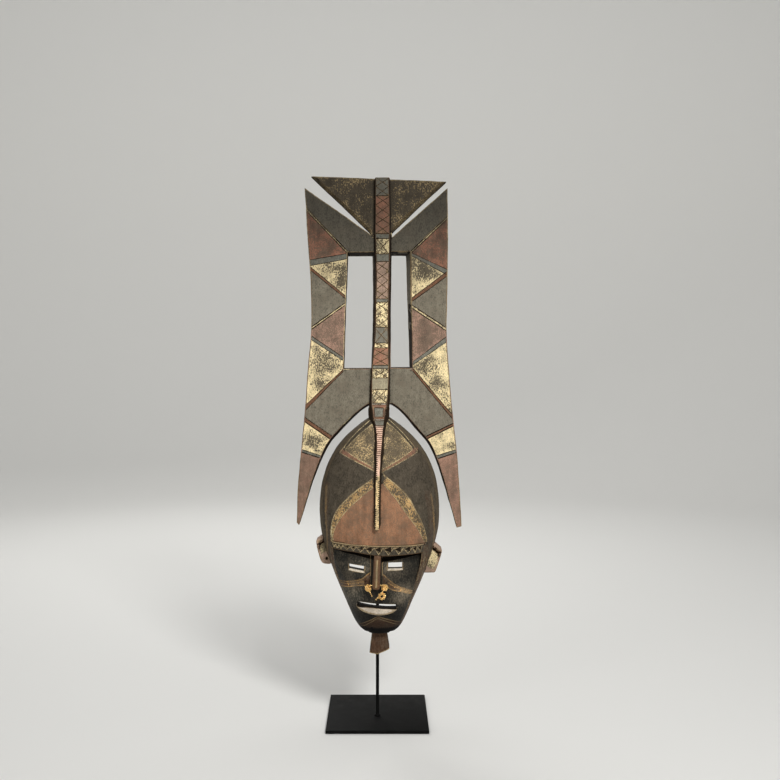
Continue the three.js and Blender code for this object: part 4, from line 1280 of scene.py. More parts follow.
def paint_plank(paint, here, x, z, sign):
    """Painted panels of one side of the plank's front."""
    side = SIDES[sign]
    r = sign * x
    height = {name: outer + (inner - outer) * (reach - r) / (reach - at)
              for name, reach, outer, at, inner in side_lines(side)}
    beside = here & (r > window_edge(side, z) - 1)
    paint.coat(here, "black", 0.93, 0.05, 0.5)
    # Painted shade: the black is darker near the top of the plank.
    paint.coat(here & (z > 850), "sable", 0.93, 0.05, 0.5)
    worn = 0.46 if sign < 0 else 0.45
    for name, colour, spots, depth in (
            ("arm", "cream", 0.6, 0.9), ("arm_inlay", "brick", 0.5, 0.8), ("red", "slate", 0.1, 0.5),
            ("grey", "cream", 0.48, 1), ("cream", "maroon", 0.2, 0.6), ("band", "black", 0.05, 0.5),
            ("black", "cream", 0.5, 0.9), ("black_inlay", "dusty", 0.5, 0.75),
            ("low_red", "slate", 0.05, 0.5), ("low_grey", "cream", worn, 1),
            ("low_cream", "maroon", 0.15, 0.6), ("low_band", "black", 0.05, 0.5)):
        paint.coat(beside & (z < height[name]), colour, 0.93, spots, depth)
    below = here & (z < side["window"][2][1]) & (r > 20)
    for name, colour, spots, depth in (
            ("shoulder", "maroon", 0.15, 0.6), ("shoulder_inlay", "cream", worn - 0.1, 1),
            ("horn_cream", "slate", 0.05, 0.5), ("horn_inlay", "rose", 0.6 - sign * 0.12, 0.6)):
        paint.coat(below & (z < height[name]), colour, 0.93, spots, depth)
    cap, notch = side["cap"], side["notch_top"]
    by_notch = notch[1] + (cap[1] - notch[1]) * (r - notch[0]) / (cap[0] - notch[0])
    gilded = 0.69 - 0.15 * np.exp(-np.maximum(0, z - by_notch) / 7)
    on_cap = here & (z > by_notch - 5) & (z > CAP_FOOT)
    paint.coat(on_cap, "gold", 0.95, gilded[on_cap], 1)


def paint_dome(paint, skin, x, z, across):
    """The dome over the brow: sectors, bands, arcs and the streaks at its sides."""
    flat = np.column_stack([x, z])
    paint.coat(skin, "soot", 0.95, 0.42, 0.7)
    paint.coat(skin & (across > 0.93), "olive", 0.9, 0.3, 0.5)
    for sign, side in DOME.items():
        on_side = skin & (sign * (x - 1.5) > 0)
        lines = {name: np.array(sorted(smooth_line(line, 5).tolist())) for name, line in side.items()
                 if not name.startswith("streak")}

        def over(name):
            return z > np.interp(x, *lines[name].T)

        def between(upper, lower):
            return on_side & between_lines(flat, lines[upper], lines[lower])

        for name, colour in (("streak", "umber"), ("streak_gold", "ochre")):
            inner, outer = (np.array(line, float)[::-1] for line in side[name])
            inside_it = sign * x > sign * np.interp(z, inner[:, 1], inner[:, 0])
            outside_it = sign * x < sign * np.interp(z, outer[:, 1], outer[:, 0])
            tall = (z < inner[-1, 1]) & (z > 205)
            paint.coat(on_side & inside_it & outside_it & tall, colour, 0.85, 0.78, 0.85, 0.2)
        reach = sign * x < sign * lines["arc_foot"][0 if sign < 0 else -1, 0] + 1
        paint.coat(on_side & ~over("arc_foot") & reach & (z > 338), "sienna", 0.95, 0.45, 0.6)
        paint.coat(between("arc_top", "arc_foot"), "amber", 0.93, 0.52, 1)
        crown = on_side & over("band_top") & (z > 470)
        inside_reach = sign * x < abs(side["sector_inner"][-1][0])
        paint.coat(crown & over("sector_inner") & (z > 497), "olive", 0.9, 0.3, 0.5)
        paint.coat(crown & over("sector_inner") & ~over("sector") & (z > 497), "soot", 0.93, 0.3, 0.4)
        paint.coat(crown & ~over("sector_inner") & inside_reach, "gold", 0.95, 0.66, 0.95)
        paint.coat(between("band_top", "band_foot"), "brick", 0.9, 0.3)
        for name in lines:
            paint.coat(on_side & on_line(flat, lines[name], 0.75), "cream", 0.9, 0.4)


def paint_face(paint, part, x, y, z, normals):
    """The sunk face with its brow, nose, slots, lip and chin."""
    flat = np.column_stack([x, z])
    left, right, top = field_outline()
    outline = np.vstack([left, right, top])
    inner = inside(flat, [outline]) & (z < brow_line("foot", x) + 1)
    body = (part == "head") | (part == "field")
    low = body & (z < 345) & (normals[:, 1] < 0)
    away = nearest(flat, outline[:-1], outline[1:])[0]
    frame = low & ~inner & (away < np.where(x < 0, 6, 13))
    paint.coat(frame, "umber", 0.9, 0.35, 0.5, 0.3)
    for middle in (1.4, 4.4, 8.0, 11.0):
        streak = np.abs(away - middle - 0.9 * np.sin(z / 11 + middle)) < 0.6
        paint.coat(frame & streak, "tan", 0.85, 0.68, 0.95, 0.3)
    paint.coat(part == "field", "soot", 0.9)
    floor = body & inner & (normals[:, 1] < -0.3)
    paint.coat(floor, "face", 0.97, 0.35, 0.5, 0.45)
    for side in CHEEKS.values():
        lines = {name: smooth_line(line, 5) for name, line in side.items()}
        paint.coat(floor & between_lines(flat, lines["top"], lines["foot"]), "umber", 0.95, 0.45, 0.8, 0.3)
        for name, reach in (("top", 0.8), ("middle", 1.5), ("foot", 0.9)):
            paint.coat(floor & on_line(flat, lines[name], reach), "ochre", 0.95, 0.42, 0.8, 0.3)
    chin = np.array(sorted(CHIN_LINES[0] + CHIN_LINES[2]), float)
    below = floor & (z < np.interp(x, chin[:, 0], chin[:, 1])) & (z < 214)
    paint.coat(below, "umber", 0.95, 0.3, 0.4, 0.3)
    for line in CHIN_LINES:
        paint.coat(floor & on_line(flat, line, 0.7), "tan", 0.95, 0.1)
    # Painted shadow under the chin, near black.
    paint.coat(body & (z < 190.5) & (y < -55), "pitch", 0.97)
    # Painted sheen: a light pool near the nose's root and one on each cheek. The chin's triangle is
    # lighter, and the face is darker towards the chin.
    dust_and_sheen = np.where(below, 1.3, 0.6) + 2.4 * np.exp(-(x / 42) ** 2 - ((z - 308) / 24) ** 2)
    dust_and_sheen += 2.2 * np.exp(-((np.abs(x) - 46) / 20) ** 2 - ((z - 247) / 20) ** 2)
    paint.tone[floor] *= (dust_and_sheen * np.interp(z, [190, 214, 245], [0.2, 0.5, 1]))[floor]

    brow = part == "brow"
    paint.coat(brow, "soot", 0.95, 0.2, 0.4)
    zigzag = np.array(zigzag_line())
    paint.coat(brow & on_line(flat, zigzag, ZIGZAG["band"] * 0.75), "gilt", 0.95, 0.4, 0.8)
    paint.coat(brow & (z > brow_line("top", x) - 1.1), "tan", 0.95, 0.1)
    paint.coat(brow & (z < brow_line("foot", x) + 1.2), "umber", 0.9)
    paint.coat(part == "zigzag", "soot", 0.95)
    # Painted shade on the brow's underside.
    paint.coat(brow & (normals[:, 2] < -0.7), "bark", 0.9)
    nose = part == "nose"
    paint.coat(nose, "nose", 0.97, 0.3, 0.25, 0.9)
    # A painted highlight down the nose's front, lightest where it faces straight out; it also shows the
    # nose's wear from handling.
    for facing, colour in ((-0.9, "wood"), (-0.985, "tan")):
        paint.coat(nose & (normals[:, 1] < facing) & (z < 316), colour, 0.95, 0.3, 0.5, 0.9)
    nose_base = part == "nose_base"
    paint.coat(nose_base, "face", 0.97, 0, 0, 0.5)
    paint.coat(nose_base & (np.abs(normals[:, 0]) > 0.3) & (z > 284), "tan", 0.9, 0.35)
    paint.coat(part == "lip", "lip", 0.97, 0.25, 0.4)
    slot = part == "slot"
    # The slots' walls are bare dark wood, and near black as painted shade inside the openings.
    paint.coat(slot, "bark", 0.9)
    eye = slot & (z > 260) & (y < field_floor(x, z) + SILL_DEPTH)
    paint.coat(eye & (normals[:, 2] > 0.3), "chalk", 0.97)
    paint.coat(eye & (np.abs(normals[:, 0]) > 0.5), "tan", 0.8)
    # Painted shadow under the brow, near black, where the face falls back.
    paint.coat((floor | nose_base) & (z > under_brow(x)), "pitch", 0.97)


def paint_crest(paint, crest, notches, x, z, normals, cut):
    """The crest's painted panels and the ridge's ladder."""
    middle, half = read_table(CREST_TABLE, z, 1), read_table(CREST_TABLE, z, 2)
    paint.coat(crest, "bark", 0.9)
    front = crest & (normals[:, 1] < -0.35) & (np.abs(normals[:, 0]) < 0.45)
    panel_top = 1010.0
    for foot, _, colour in CREST_PANELS:
        spots = {"cream": 0.42, "slate": 0.1}.get(colour, 0.38)
        depth = 1 if colour == "cream" else 0.6
        paint.coat(front & (z <= panel_top) & (z > foot), colour, 0.93, spots, depth)
        panel_top = foot
    paint.coat(front & (z < 578.5) & (z > 562.5) & (np.abs(x - middle) < half - 3.0), "slate", 0.9)
    paint.coat(front & (z <= RIDGE_TOP), "blush", 0.92, 0.2, 0.5)
    paint.coat(front & (z <= GOLD_RIDGE_TOP), "gold", 0.95, 0.36, 0.9)
    paint.tone[front & (z <= RIDGE_TOP)] *= 1.2
    paint.coat(front & (z <= RIDGE_TOP - 1) & (np.abs(x - middle) > half * 0.74), "umber", 0.85)
    paint.coat(front & (z > 550) & in_cuts(np.column_stack([x, z]), crest_cuts(*cut)), "bark", 0.95)
    paint.coat(notches, "maroon", 0.9)
    paint.coat(notches & (z < LADDER["full"]), "bark", 0.9)
    edges = crest & ~front & (normals[:, 1] < -0.35) & (np.abs(x - middle) < half + 0.6)
    paint.coat(edges, "umber", 0.9, 0.3)
    paint.coat(edges & (z < 560), "bark", 0.9)


def paint_ears(paint, ear, x, z, normals):
    """The ears: reddish, with a light panel below the scoop, which is painted dark as the roof's shadow."""
    paint.coat(ear, "pink", 0.95, 0.15, 0.5)
    for sign, shape in EARS.items():
        roof = np.array(shape["roof"], float)
        below = np.interp(x, roof[:, 0], roof[:, 1]) - z
        this = ear & (sign * x > 0) & (normals[:, 1] < -0.4)
        rim = [p for p in shape["outline"] if abs(p[0]) > 101]
        by_rim = on_line(np.column_stack([x, z]), rim, 3.6)
        panel = this & (below > 13.5) & (below < 39 + 8 * sign) & ~by_rim
        paint.coat(panel, "cream", 0.9, 0.46, 0.9)
        # Painted shadow: the scoop under the roof is dark umber.
        paint.coat(this & (below > 4.5) & (below <= 13.5), "umber", 0.9)
    paint.coat(ear & (normals[:, 1] > 0.4), "bark", 0.9)


def paint_mask(thing, colours, edge, cut, fine_cut):
    """Gives every face of the carving its paint, by the part it belongs to and its place."""
    mesh = thing.data
    centres, normals = face_table(mesh)
    names = [m.name.replace("mark_", "") if m else "" for m in mesh.materials]
    part = np.array(names, object)[read_rows(mesh.polygons, "material_index", kind=int)]
    x, y, z = centres.T
    flat = centres[:, [0, 2]]
    paint = Paint(len(centres), colours)
    paint.coat(np.ones(len(x), bool), "wood", 0.0)

    outline = np.vstack([np.hstack([loop[:, :2], np.roll(loop[:, :2], -1, axis=0)])
                         for loop in plank_loops(edge)])
    plank = part == "plank"
    facing = plank & (normals[:, 1] < -0.3)
    for sign in (-1, 1):
        paint_plank(paint, facing & (sign * x > 0), x, z, sign)
    rim = np.where(facing)[0]
    close = nearest(flat[rim], outline[:, :2], outline[:, 2:])[0]
    slanted = np.zeros(len(x), bool)
    slanted[rim] = (close < 1.7) & (normals[rim, 1] > -0.95)
    sunk = facing & (y > PLANK_FRONT + 0.12)
    paint.coat(sunk & in_cuts(flat, plank_cuts(*cut)), "bark", 0.95)
    paint.coat(slanted, "tan", 0.85, 0.3)
    paint.coat(slanted & (z < 720) & (z > 450), "rose", 0.8, 0.4)
    paint.coat(slanted & (x > -63) & (x < -50) & (z < 850) | slanted & (z > 893), "cream", 0.85, 0.2)
    under_cap = facing & (z > 890) & (normals[:, 2] < -0.3) & (normals[:, 1] > -0.93)
    paint.coat(under_cap, "gilt", 0.9, 0.55, 0.95)
    paint.coat(plank & ~facing, "bark", 0.9)

    notches = part == "ladder"
    paint_crest(paint, (part == "crest") | notches, notches, x, z, normals, fine_cut)
    across = np.abs(head_angle(x, z))
    head = part == "head"
    paint.coat(head, "olive", 0.8, 0.3)
    paint_dome(paint, head & (normals[:, 1] < 0.3), x, z, across)
    paint_face(paint, part, x, y, z, normals)

    paint_ears(paint, part == "ear", x, z, normals)
    grip = part == "grip"
    paint.coat(grip, "umber", 0.9, 0.3, 0.5, 0.3)
    paint.coat(grip & (normals[:, 2] < -0.25) & (normals[:, 1] < -0.2), "gold", 0.9)
    paint.coat(part == "hollow", "raw", 0.6)
    paint.coat(part == "rim", "raw", 0.6)

    # Painted shade: darker towards the top of the plank, where the light falls off, and a little towards
    # the foot; the crest is kept lighter.
    paint.tone *= np.interp(z, [120, 330, 420, 640, 720, 800, 870, 940, 1000],
                            [0.85, 0.95, 1.0, 1.0, 0.98, 0.85, 0.6, 0.36, 0.32])
    paint.tone[part == "crest"] *= np.interp(z, [560, 640, 800, 870, 1000],
                                             [1.12, 1.3, 1.28, 1.0, 1.6])[part == "crest"]
    hidden = (normals[:, 1] > 0.4) | (part == "hollow") | (part == "rim")
    paint.coat((plank | (part == "crest")) & hidden, "wood", 0)
    paint.tone[hidden] *= 0.5
    keep = mesh.attributes.new("pigment", "FLOAT_COLOR", "FACE")
    rgba = np.column_stack([paint.colour * paint.tone[:, None], paint.cover])
    keep.data.foreach_set("color", rgba.astype(np.float32).ravel())
    wear = mesh.attributes.new("wear", "FLOAT_COLOR", "FACE")
    rows = np.column_stack([paint.spots, paint.depth, paint.polish, paint.tone])
    wear.data.foreach_set("color", rows.astype(np.float32).ravel())

    keep_wear(mesh, outline)
    mesh.materials.clear()
    mesh.polygons.foreach_set("material_index", np.zeros(len(mesh.polygons), int))


def keep_wear(mesh, outline):
    """Keeps for each point how sharp an edge it lies on and how far the light paint has faded."""
    points = read_rows(mesh.vertices, "co", 3) / MM
    relief = edge_relief(mesh)
    ridge = (points[:, 2] > 366) & (points[:, 1] < read_table(CREST_TABLE, points[:, 2], 4) + 2.5)
    relief[ridge & (points[:, 2] < 550)] *= 0.15
    fade = np.zeros(len(points))
    on_front = np.where((points[:, 1] < PLANK_FRONT + 3) & (points[:, 1] > PLANK_FRONT - 1.5)
                        & (points[:, 2] > 340))[0]
    flat = points[on_front][:, [0, 2]]
    cuts = np.array([np.ravel(line) for line, _, _ in plank_cuts(1, 1)])
    to_cut = nearest(flat, cuts[:, :2], cuts[:, 2:])[0]
    to_rim = nearest(flat, outline[:, :2], outline[:, 2:])[0]
    relief[on_front] = np.where(to_cut < 1.6, np.clip(relief[on_front], -0.3, 0.1), relief[on_front])
    fade[on_front] = 0.09 - 0.3 * np.exp(-np.minimum(to_cut, to_rim) / 5)
    for spot_x, spot_z, radius, amount in WEAR_SPOTS:
        far = ((flat - (spot_x, spot_z)) ** 2).sum(1) / radius ** 2
        fade[on_front] += amount * np.exp(-far)
    for name, values in (("relief", relief), ("fade", fade)):
        mesh.attributes.new(name, "FLOAT", "POINT").data.foreach_set("value", values.astype(np.float32))


def palette(settings):
    """All paints by name: those that can be set and the ones mixed from them."""
    base = {name: np.array(getattr(settings, name)) for name in (
        "cream", "brick", "black", "slate", "chalk", "ochre", "wood")}

    def mix(first, second, share):
        return base[first] * (1 - share) + base[second] * share

    base.update({
        "rose": mix("brick", "chalk", 0.14),
        "pink": mix("brick", "chalk", 0.3),
        "sienna": mix("brick", "ochre", 0.2),
        "maroon": mix("brick", "wood", 0.4) * 0.6,
        "drab": mix("slate", "cream", 0.25),
        "soot": mix("black", "wood", 0.2) * 0.34,
        "sable": base["black"] * 0.62,
        "dusty": mix("brick", "chalk", 0.2) * 0.96,
        "blush": mix("brick", "chalk", 0.28) * 1.3,
        "amber": mix("ochre", "cream", 0.12) * 1.1,
        "face": mix("black", "slate", 0.5) * 0.14,
        # Near black, painted as the shadow under the brow and under the chin.
        "pitch": base["wood"] * 0.02,
        "gilt": mix("cream", "ochre", 0.35) * 0.62,
        "gold": mix("ochre", "cream", 0.5),
        "olive": mix("black", "ochre", 0.2) * 0.42,
        "tan": mix("wood", "cream", 0.35),
        "bark": base["wood"] * 0.1,
        "umber": mix("wood", "brick", 0.4) * 0.36,
        "nose": mix("wood", "brick", 0.35) * 0.6,
        "lip": mix("chalk", "brick", 0.12) * 0.88,
        "raw": base["wood"] * 0.5,
        "ground": mix("slate", "wood", 0.35) * 0.45,
    })
    return base


# Finishes.
def new_finish(name):
    """A material with its shader, and the shader's tree."""
    made = bpy.data.materials.new(name)
    made.use_nodes = True
    tree = made.node_tree
    tree.nodes.clear()
    shader = tree.nodes.new("ShaderNodeBsdfPrincipled")
    output = tree.nodes.new("ShaderNodeOutputMaterial")
    tree.links.new(shader.outputs[0], output.inputs[0])
    return made, tree, shader


def object_place(tree, scale=(1, 1, 1)):
    """Object coordinates, stretched by the given scale."""
    place = tree.nodes.new("ShaderNodeTexCoord").outputs["Object"]
    if scale == (1, 1, 1):
        return place
    return wire(tree, "ShaderNodeMapping", {"Vector": place, "Scale": scale}).outputs[0]


def clouds(tree, place, scale, detail=4.0, roughness=0.55, distortion=0.0):
    """A noise pattern's value."""
    node = wire(tree, "ShaderNodeTexNoise", {
        "Vector": place, "Scale": scale, "Detail": detail, "Roughness": roughness,
        "Distortion": distortion})
    return node.outputs[0]


def remap(tree, value, low, high, to_low=0.0, to_high=1.0):
    """The value spread from one range to another, held at its ends."""
    node = wire(tree, "ShaderNodeMapRange", {
        "Value": value, "From Min": low, "From Max": high, "To Min": to_low, "To Max": to_high})
    return node.outputs[0]


def reckon(tree, operation, first, second=0.0, third=0.0):
    """A sum, product or other reckoning of values."""
    node = tree.nodes.new("ShaderNodeMath")
    node.operation = operation
    for socket, value in zip(node.inputs, (first, second, third)):
        if isinstance(value, bpy.types.NodeSocket):
            tree.links.new(value, socket)
        else:
            socket.default_value = value
    return node.outputs[0]


def blend_colours(tree, share, first, second):
    """Two colours mixed by a share."""
    node = tree.nodes.new("ShaderNodeMix")
    node.data_type = "RGBA"
    for socket, value in ((node.inputs[0], share), (node.inputs[6], first), (node.inputs[7], second)):
        if isinstance(value, bpy.types.NodeSocket):
            tree.links.new(value, socket)
        elif isinstance(value, (int, float)):
            socket.default_value = value
        else:
            socket.default_value = (*value[:3], 1)
    return node.outputs[2]


def painted_wood(colours):
    """Old earth paint on carved wood: worn off ridges, dark in grooves, scuffed and dusty."""
    made, tree, shader = new_finish("painted_wood")
    place = object_place(tree)
    upright = object_place(tree, (1, 1, 0.12))
    short = object_place(tree, (1, 1, 0.55))
    pigment = wire(tree, "ShaderNodeAttribute", attribute_name="pigment")
    wear = wire(tree, "ShaderNodeAttribute", attribute_name="wear")
    split = wire(tree, "ShaderNodeSeparateColor", {"Color": wear.outputs["Color"]})
    spots, depth, polish = split.outputs
    paint, tone = pigment.outputs["Color"], wear.outputs["Alpha"]
    relief = wire(tree, "ShaderNodeAttribute", attribute_name="relief").outputs["Fac"]
    fade = wire(tree, "ShaderNodeAttribute", attribute_name="fade").outputs["Fac"]

    def dim(colour, value):
        return wire(tree, "ShaderNodeVectorMath", {0: colour, 3: value}, operation="SCALE").outputs[0]

    grain = clouds(tree, upright, 420, 5, 0.6, 0.3)
    streaks = clouds(tree, upright, 190, 4, 0.6)
    blotch = clouds(tree, place, 24, 3, 0.5)
    clumps = clouds(tree, place, 110, 2, 0.5)
    flecks = clouds(tree, short, 520, 3, 0.62)
    fine = clouds(tree, place, 900, 3, 0.6)

    wood = blend_colours(tree, remap(tree, grain, 0.3, 0.72), colours["wood"] * 0.3, colours["wood"])
    wood = blend_colours(tree, remap(tree, blotch, 0.35, 0.7, 0, 0.5), wood, colours["wood"] * 0.3)

    # Dark ground where the paint has gone in spots.
    mixed = reckon(tree, "MULTIPLY_ADD", flecks, 0.76, reckon(tree, "MULTIPLY_ADD", clumps, 0.16,
                                                            reckon(tree, "MULTIPLY", blotch, 0.08)))
    veil = clouds(tree, place, 38, 3, 0.6)
    thin = remap(tree, veil, 0.36, 0.64, -0.12, 0.24)
    bare = reckon(tree, "ADD", reckon(tree, "ADD", spots, fade), thin)
    bound = reckon(tree, "MULTIPLY_ADD", bare, -0.24, 0.62)
    speck = remap(tree, reckon(tree, "SUBTRACT", mixed, bound), -0.007, 0.01)
    ground = blend_colours(tree, streaks, colours["ground"] * 0.7, colours["ground"] * 1.3)
    ground = blend_colours(tree, 0.04, dim(ground, tone), paint)
    deep = reckon(tree, "MULTIPLY", depth, reckon(tree, "GREATER_THAN", spots, 0.01))
    veiled = reckon(tree, "MULTIPLY", remap(tree, veil, 0.46, 0.66, 0, 0.5), deep)
    coat = blend_colours(tree, veiled, paint, dim(colours["ground"] * 2, tone))
    coat = blend_colours(tree, reckon(tree, "MULTIPLY", speck, deep), coat, ground)

    # Uneven coat: brush streaks, thin places and scuffs.
    shade = reckon(tree, "ADD", remap(tree, streaks, 0.25, 0.75, -0.16, 0.16),
                   remap(tree, flecks, 0.25, 0.75, -0.55, 0.55))
    shade = reckon(tree, "ADD", reckon(tree, "ADD", shade, remap(tree, clumps, 0.3, 0.7, -0.16, 0.16)), 1.0)
    coat = dim(coat, shade)

    # Where paint is left: little on sharp ridges.
    ridge = reckon(tree, "MAXIMUM", relief, 0.0)
    groove = reckon(tree, "MAXIMUM", reckon(tree, "MULTIPLY", relief, -1.0), 0.0)
    left = reckon(tree, "MULTIPLY_ADD", ridge, -0.4, pigment.outputs["Alpha"])
    chips = reckon(tree, "MULTIPLY_ADD", fine, 0.5, reckon(tree, "MULTIPLY", flecks, 0.5))
    left = reckon(tree, "MULTIPLY_ADD", left, 0.6, 0.15)
    kept = remap(tree, reckon(tree, "SUBTRACT", left, chips), -0.03, 0.04)
    colour = blend_colours(tree, kept, dim(wood, tone), coat)
    sharp = reckon(tree, "MULTIPLY", reckon(tree, "POWER", ridge, 2.0), fine)
    rubbed = remap(tree, sharp, 0.16, 0.5, 0, 0.7)
    colour = blend_colours(tree, rubbed, colour, dim(colours["tan"], tone))
    # Near black in grooves and inner corners.
    groove_dark = remap(tree, groove, 0.35, 0.95, 0, 0.93)
    colour = blend_colours(tree, groove_dark, colour, colours["wood"] * 0.06)
    tree.links.new(colour, shader.inputs["Base Color"])

    rough = remap(tree, fine, 0.3, 0.7, 0.68, 0.86)
    rough = reckon(tree, "MULTIPLY_ADD", polish, -0.45, rough)
    tree.links.new(rough, shader.inputs["Roughness"])
    shader.inputs["Specular IOR Level"].default_value = 0.16

    height = reckon(tree, "MULTIPLY_ADD", kept, 0.4, reckon(tree, "MULTIPLY", grain, 0.5))
    height = reckon(tree, "MULTIPLY_ADD", flecks, 0.7, height)
    height = reckon(tree, "MULTIPLY_ADD", speck, -0.35, height)
    bump = wire(tree, "ShaderNodeBump", {"Height": height, "Strength": 0.6, "Distance": 0.0006})
    tree.links.new(bump.outputs[0], shader.inputs["Normal"])
    return made


def gold_beads(gold):
    """Worn gilded metal."""
    made, tree, shader = new_finish("gold_beads")
    place = object_place(tree)
    tarnish = clouds(tree, place, 260, 3, 0.6)
    colour = blend_colours(tree, remap(tree, tarnish, 0.45, 0.75), gold, np.array(gold) * 0.6)
    tree.links.new(colour, shader.inputs["Base Color"])
    tree.links.new(remap(tree, tarnish, 0.3, 0.7, 0.2, 0.4), shader.inputs["Roughness"])
    shader.inputs["Metallic"].default_value = 0.85
    return made


def black_steel(colour):
    """Steel with a satin black finish, a little dusty."""
    made, tree, shader = new_finish("black_steel")
    place = object_place(tree)
    dust_and_sheen = clouds(tree, place, 35, 5, 0.65)
    grit = clouds(tree, place, 900, 2, 0.5)
    shade = blend_colours(tree, remap(tree, dust_and_sheen, 0.4, 0.8, 0, 0.35), colour, np.array(colour) + 0.02)
    tree.links.new(shade, shader.inputs["Base Color"])
    tree.links.new(remap(tree, dust_and_sheen, 0.3, 0.75, 0.42, 0.6), shader.inputs["Roughness"])
    shader.inputs["Specular IOR Level"].default_value = 0.03
    bump = wire(tree, "ShaderNodeBump", {"Height": grit, "Strength": 0.12, "Distance": 0.0003})
    tree.links.new(bump.outputs[0], shader.inputs["Normal"])
    return made


def shade(piece, angle):
    """Shades a piece smoothly, but for edges sharper than the angle in degrees."""
    piece.data.shade_smooth()
    piece.data.set_sharp_from_angle(angle=math.radians(angle))


def put_on(piece, finish, slot, *nodes):
    """Finishes a piece: its material, the body it rides on and the nodes it stands for."""
    piece.data.materials.clear()
    piece.data.materials.append(finish)
    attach(piece, "root")
    if nodes:
        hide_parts(*nodes)
    return piece


# Operators.
class MASK_OT_carve(bpy.types.Operator):
    """Carve the mask from one block and paint it"""

    bl_idname = "mask.carve"
    bl_label = "Carve the mask"

    def execute(self, context):
        sizes = context.scene.mask_carving
        spacing = sizes.spacing / MM
        cut = (sizes.groove_width / MM, sizes.groove_depth / MM)
        fine_cut = (cut[0] * 0.55, cut[1] * 0.5)
        edge = (sizes.edge_round / MM, sizes.edge_round / MM * 0.85)
        block = head_blank(spacing, fine_cut)
        brow = carve(brow_blank(3.4), "DIFFERENCE", zigzag_cutters())
        carve(block, "UNION", brow)
        carve(block, "DIFFERENCE", field_cutter(spacing * 0.85, fine_cut))
        carve(block, "UNION", nose_base_blank(), nose_blank(), lip_blank(), grip_blank())
        carve(block, "DIFFERENCE", behind_rim())
        crest = carve(crest_blank(3.6, edge, fine_cut), "DIFFERENCE", ladder_cutters())
        carve(block, "UNION", plank_blank(spacing, edge, cut), crest, ear_blank(-1), ear_blank(1))
        carve(block, "DIFFERENCE", solid("hollow", ring_skin(oval_rings(HOLLOW_TABLE, 52, 64))))
        carve(block, "DIFFERENCE", *[slot_cutter(name) for name in SLOTS])
        carve(block, "DIFFERENCE", bore(
            "nose_hole", (NOSE_X, NOSE_HOLE["y"], NOSE_HOLE["z"]), NOSE_HOLE["radius"], "x", 40))
        block.name = block.data.name = "mask_carving"
        if len(block.data.polygons) < 1000:
            raise RuntimeError("the mask came out empty")
        weather(block, sizes.tool_marks)
        colours = palette(context.scene.mask_paints)
        paint_mask(block, colours, edge, cut, fine_cut)
        shade(block, 32)
        put_on(block, painted_wood(colours), "painted_wood", "mask")
        return {"FINISHED"}


def bead_path():
    """The string's way from tail to tail, as points in millimetres."""
    points = [TAILS[0]]

    def coil(middle, turns):
        for radius, start, sweep, out in turns:
            steps = math.ceil(abs(sweep) * 30)
            for i in range(steps + 1):
                angle = 2 * math.pi * (start + sweep * i / steps)
                reach = radius - 0.6 + 0.6 * math.cos(7 * angle)
                points.append((middle[0] + reach * math.cos(angle),
                               middle[1] - out + 0.6 * math.sin(5 * angle),
                               middle[2] + reach * math.sin(angle)))

    coil(*COILS[0])
    points.extend((NOSE_X + reach, NOSE_HOLE["y"], NOSE_HOLE["z"]) for reach in HOLE_REACH)
    coil(*COILS[1])
    coil(*COILS[2])
    points.append(TAILS[1])
    return smooth_line(points, 3)


def bead_tree():
    """Beads threaded along a line, each turned and sized a little differently, with the thread."""
    tree = node_tree("bead_string", [
        ("Radius", "NodeSocketFloat", 0.0019), ("Step", "NodeSocketFloat", 0.003),
        ("Thread", "NodeSocketFloat", 0.0006), ("Seed", "NodeSocketInt", 4),
        ("Finish", "NodeSocketMaterial", None)])
    given = tree.nodes.new("NodeGroupInput")
    line = wire(tree, "GeometryNodeMeshToCurve", {"Mesh": given.outputs["Geometry"]})
    spots = wire(tree, "GeometryNodeResampleCurve", {
        "Curve": line.outputs[0], "Length": given.outputs["Step"]}, mode="LENGTH")
    bead = wire(tree, "GeometryNodeMeshIcoSphere", {"Radius": given.outputs["Radius"], "Subdivisions": 2})
    smooth = wire(tree, "GeometryNodeSetShadeSmooth", {"Geometry": bead.outputs[0]})
    tangent = tree.nodes.new("GeometryNodeInputTangent")
    turn = wire(tree, "FunctionNodeAlignRotationToVector", {"Vector": tangent.outputs[0]}, axis="Z")
    size = wire(tree, "FunctionNodeRandomValue", {
        "Seed": given.outputs["Seed"]}, data_type="FLOAT_VECTOR")
    size.inputs["Min"].default_value = (0.7, 0.7, 0.6)
    size.inputs["Max"].default_value = (1.0, 1.0, 0.95)
    row = wire(tree, "GeometryNodeInstanceOnPoints", {
        "Points": spots.outputs[0], "Instance": smooth.outputs[0], "Rotation": turn.outputs[0],
        "Scale": size.outputs["Value"]})
    section = wire(tree, "GeometryNodeCurvePrimitiveCircle", {
        "Resolution": 8, "Radius": given.outputs["Thread"]})
    thread = wire(tree, "GeometryNodeCurveToMesh", {
        "Curve": line.outputs[0], "Profile Curve": section.outputs[0], "Fill Caps": True})
    both = tree.nodes.new("GeometryNodeJoinGeometry")
    tree.links.new(row.outputs[0], both.inputs[0])
    tree.links.new(thread.outputs[0], both.inputs[0])
    return close_tree(tree, both.outputs[0], given.outputs["Finish"])


class MASK_OT_thread_beads(bpy.types.Operator):
    """Thread the string of small beads through the nose"""

    bl_idname = "mask.thread_beads"
    bl_label = "Thread the beads"

    def execute(self, context):
        sizes = context.scene.mask_beads
        beads = bare_line("nose_bead_string", bead_path())
        finish = gold_beads(tuple(sizes.gold))
        run_tree(beads, bead_tree(), {
            "Radius": sizes.radius, "Step": sizes.step, "Thread": sizes.thread, "Seed": 4,
            "Finish": finish})
        put_on(beads, finish, "gold_beads", "nose_beads")
        return {"FINISHED"}


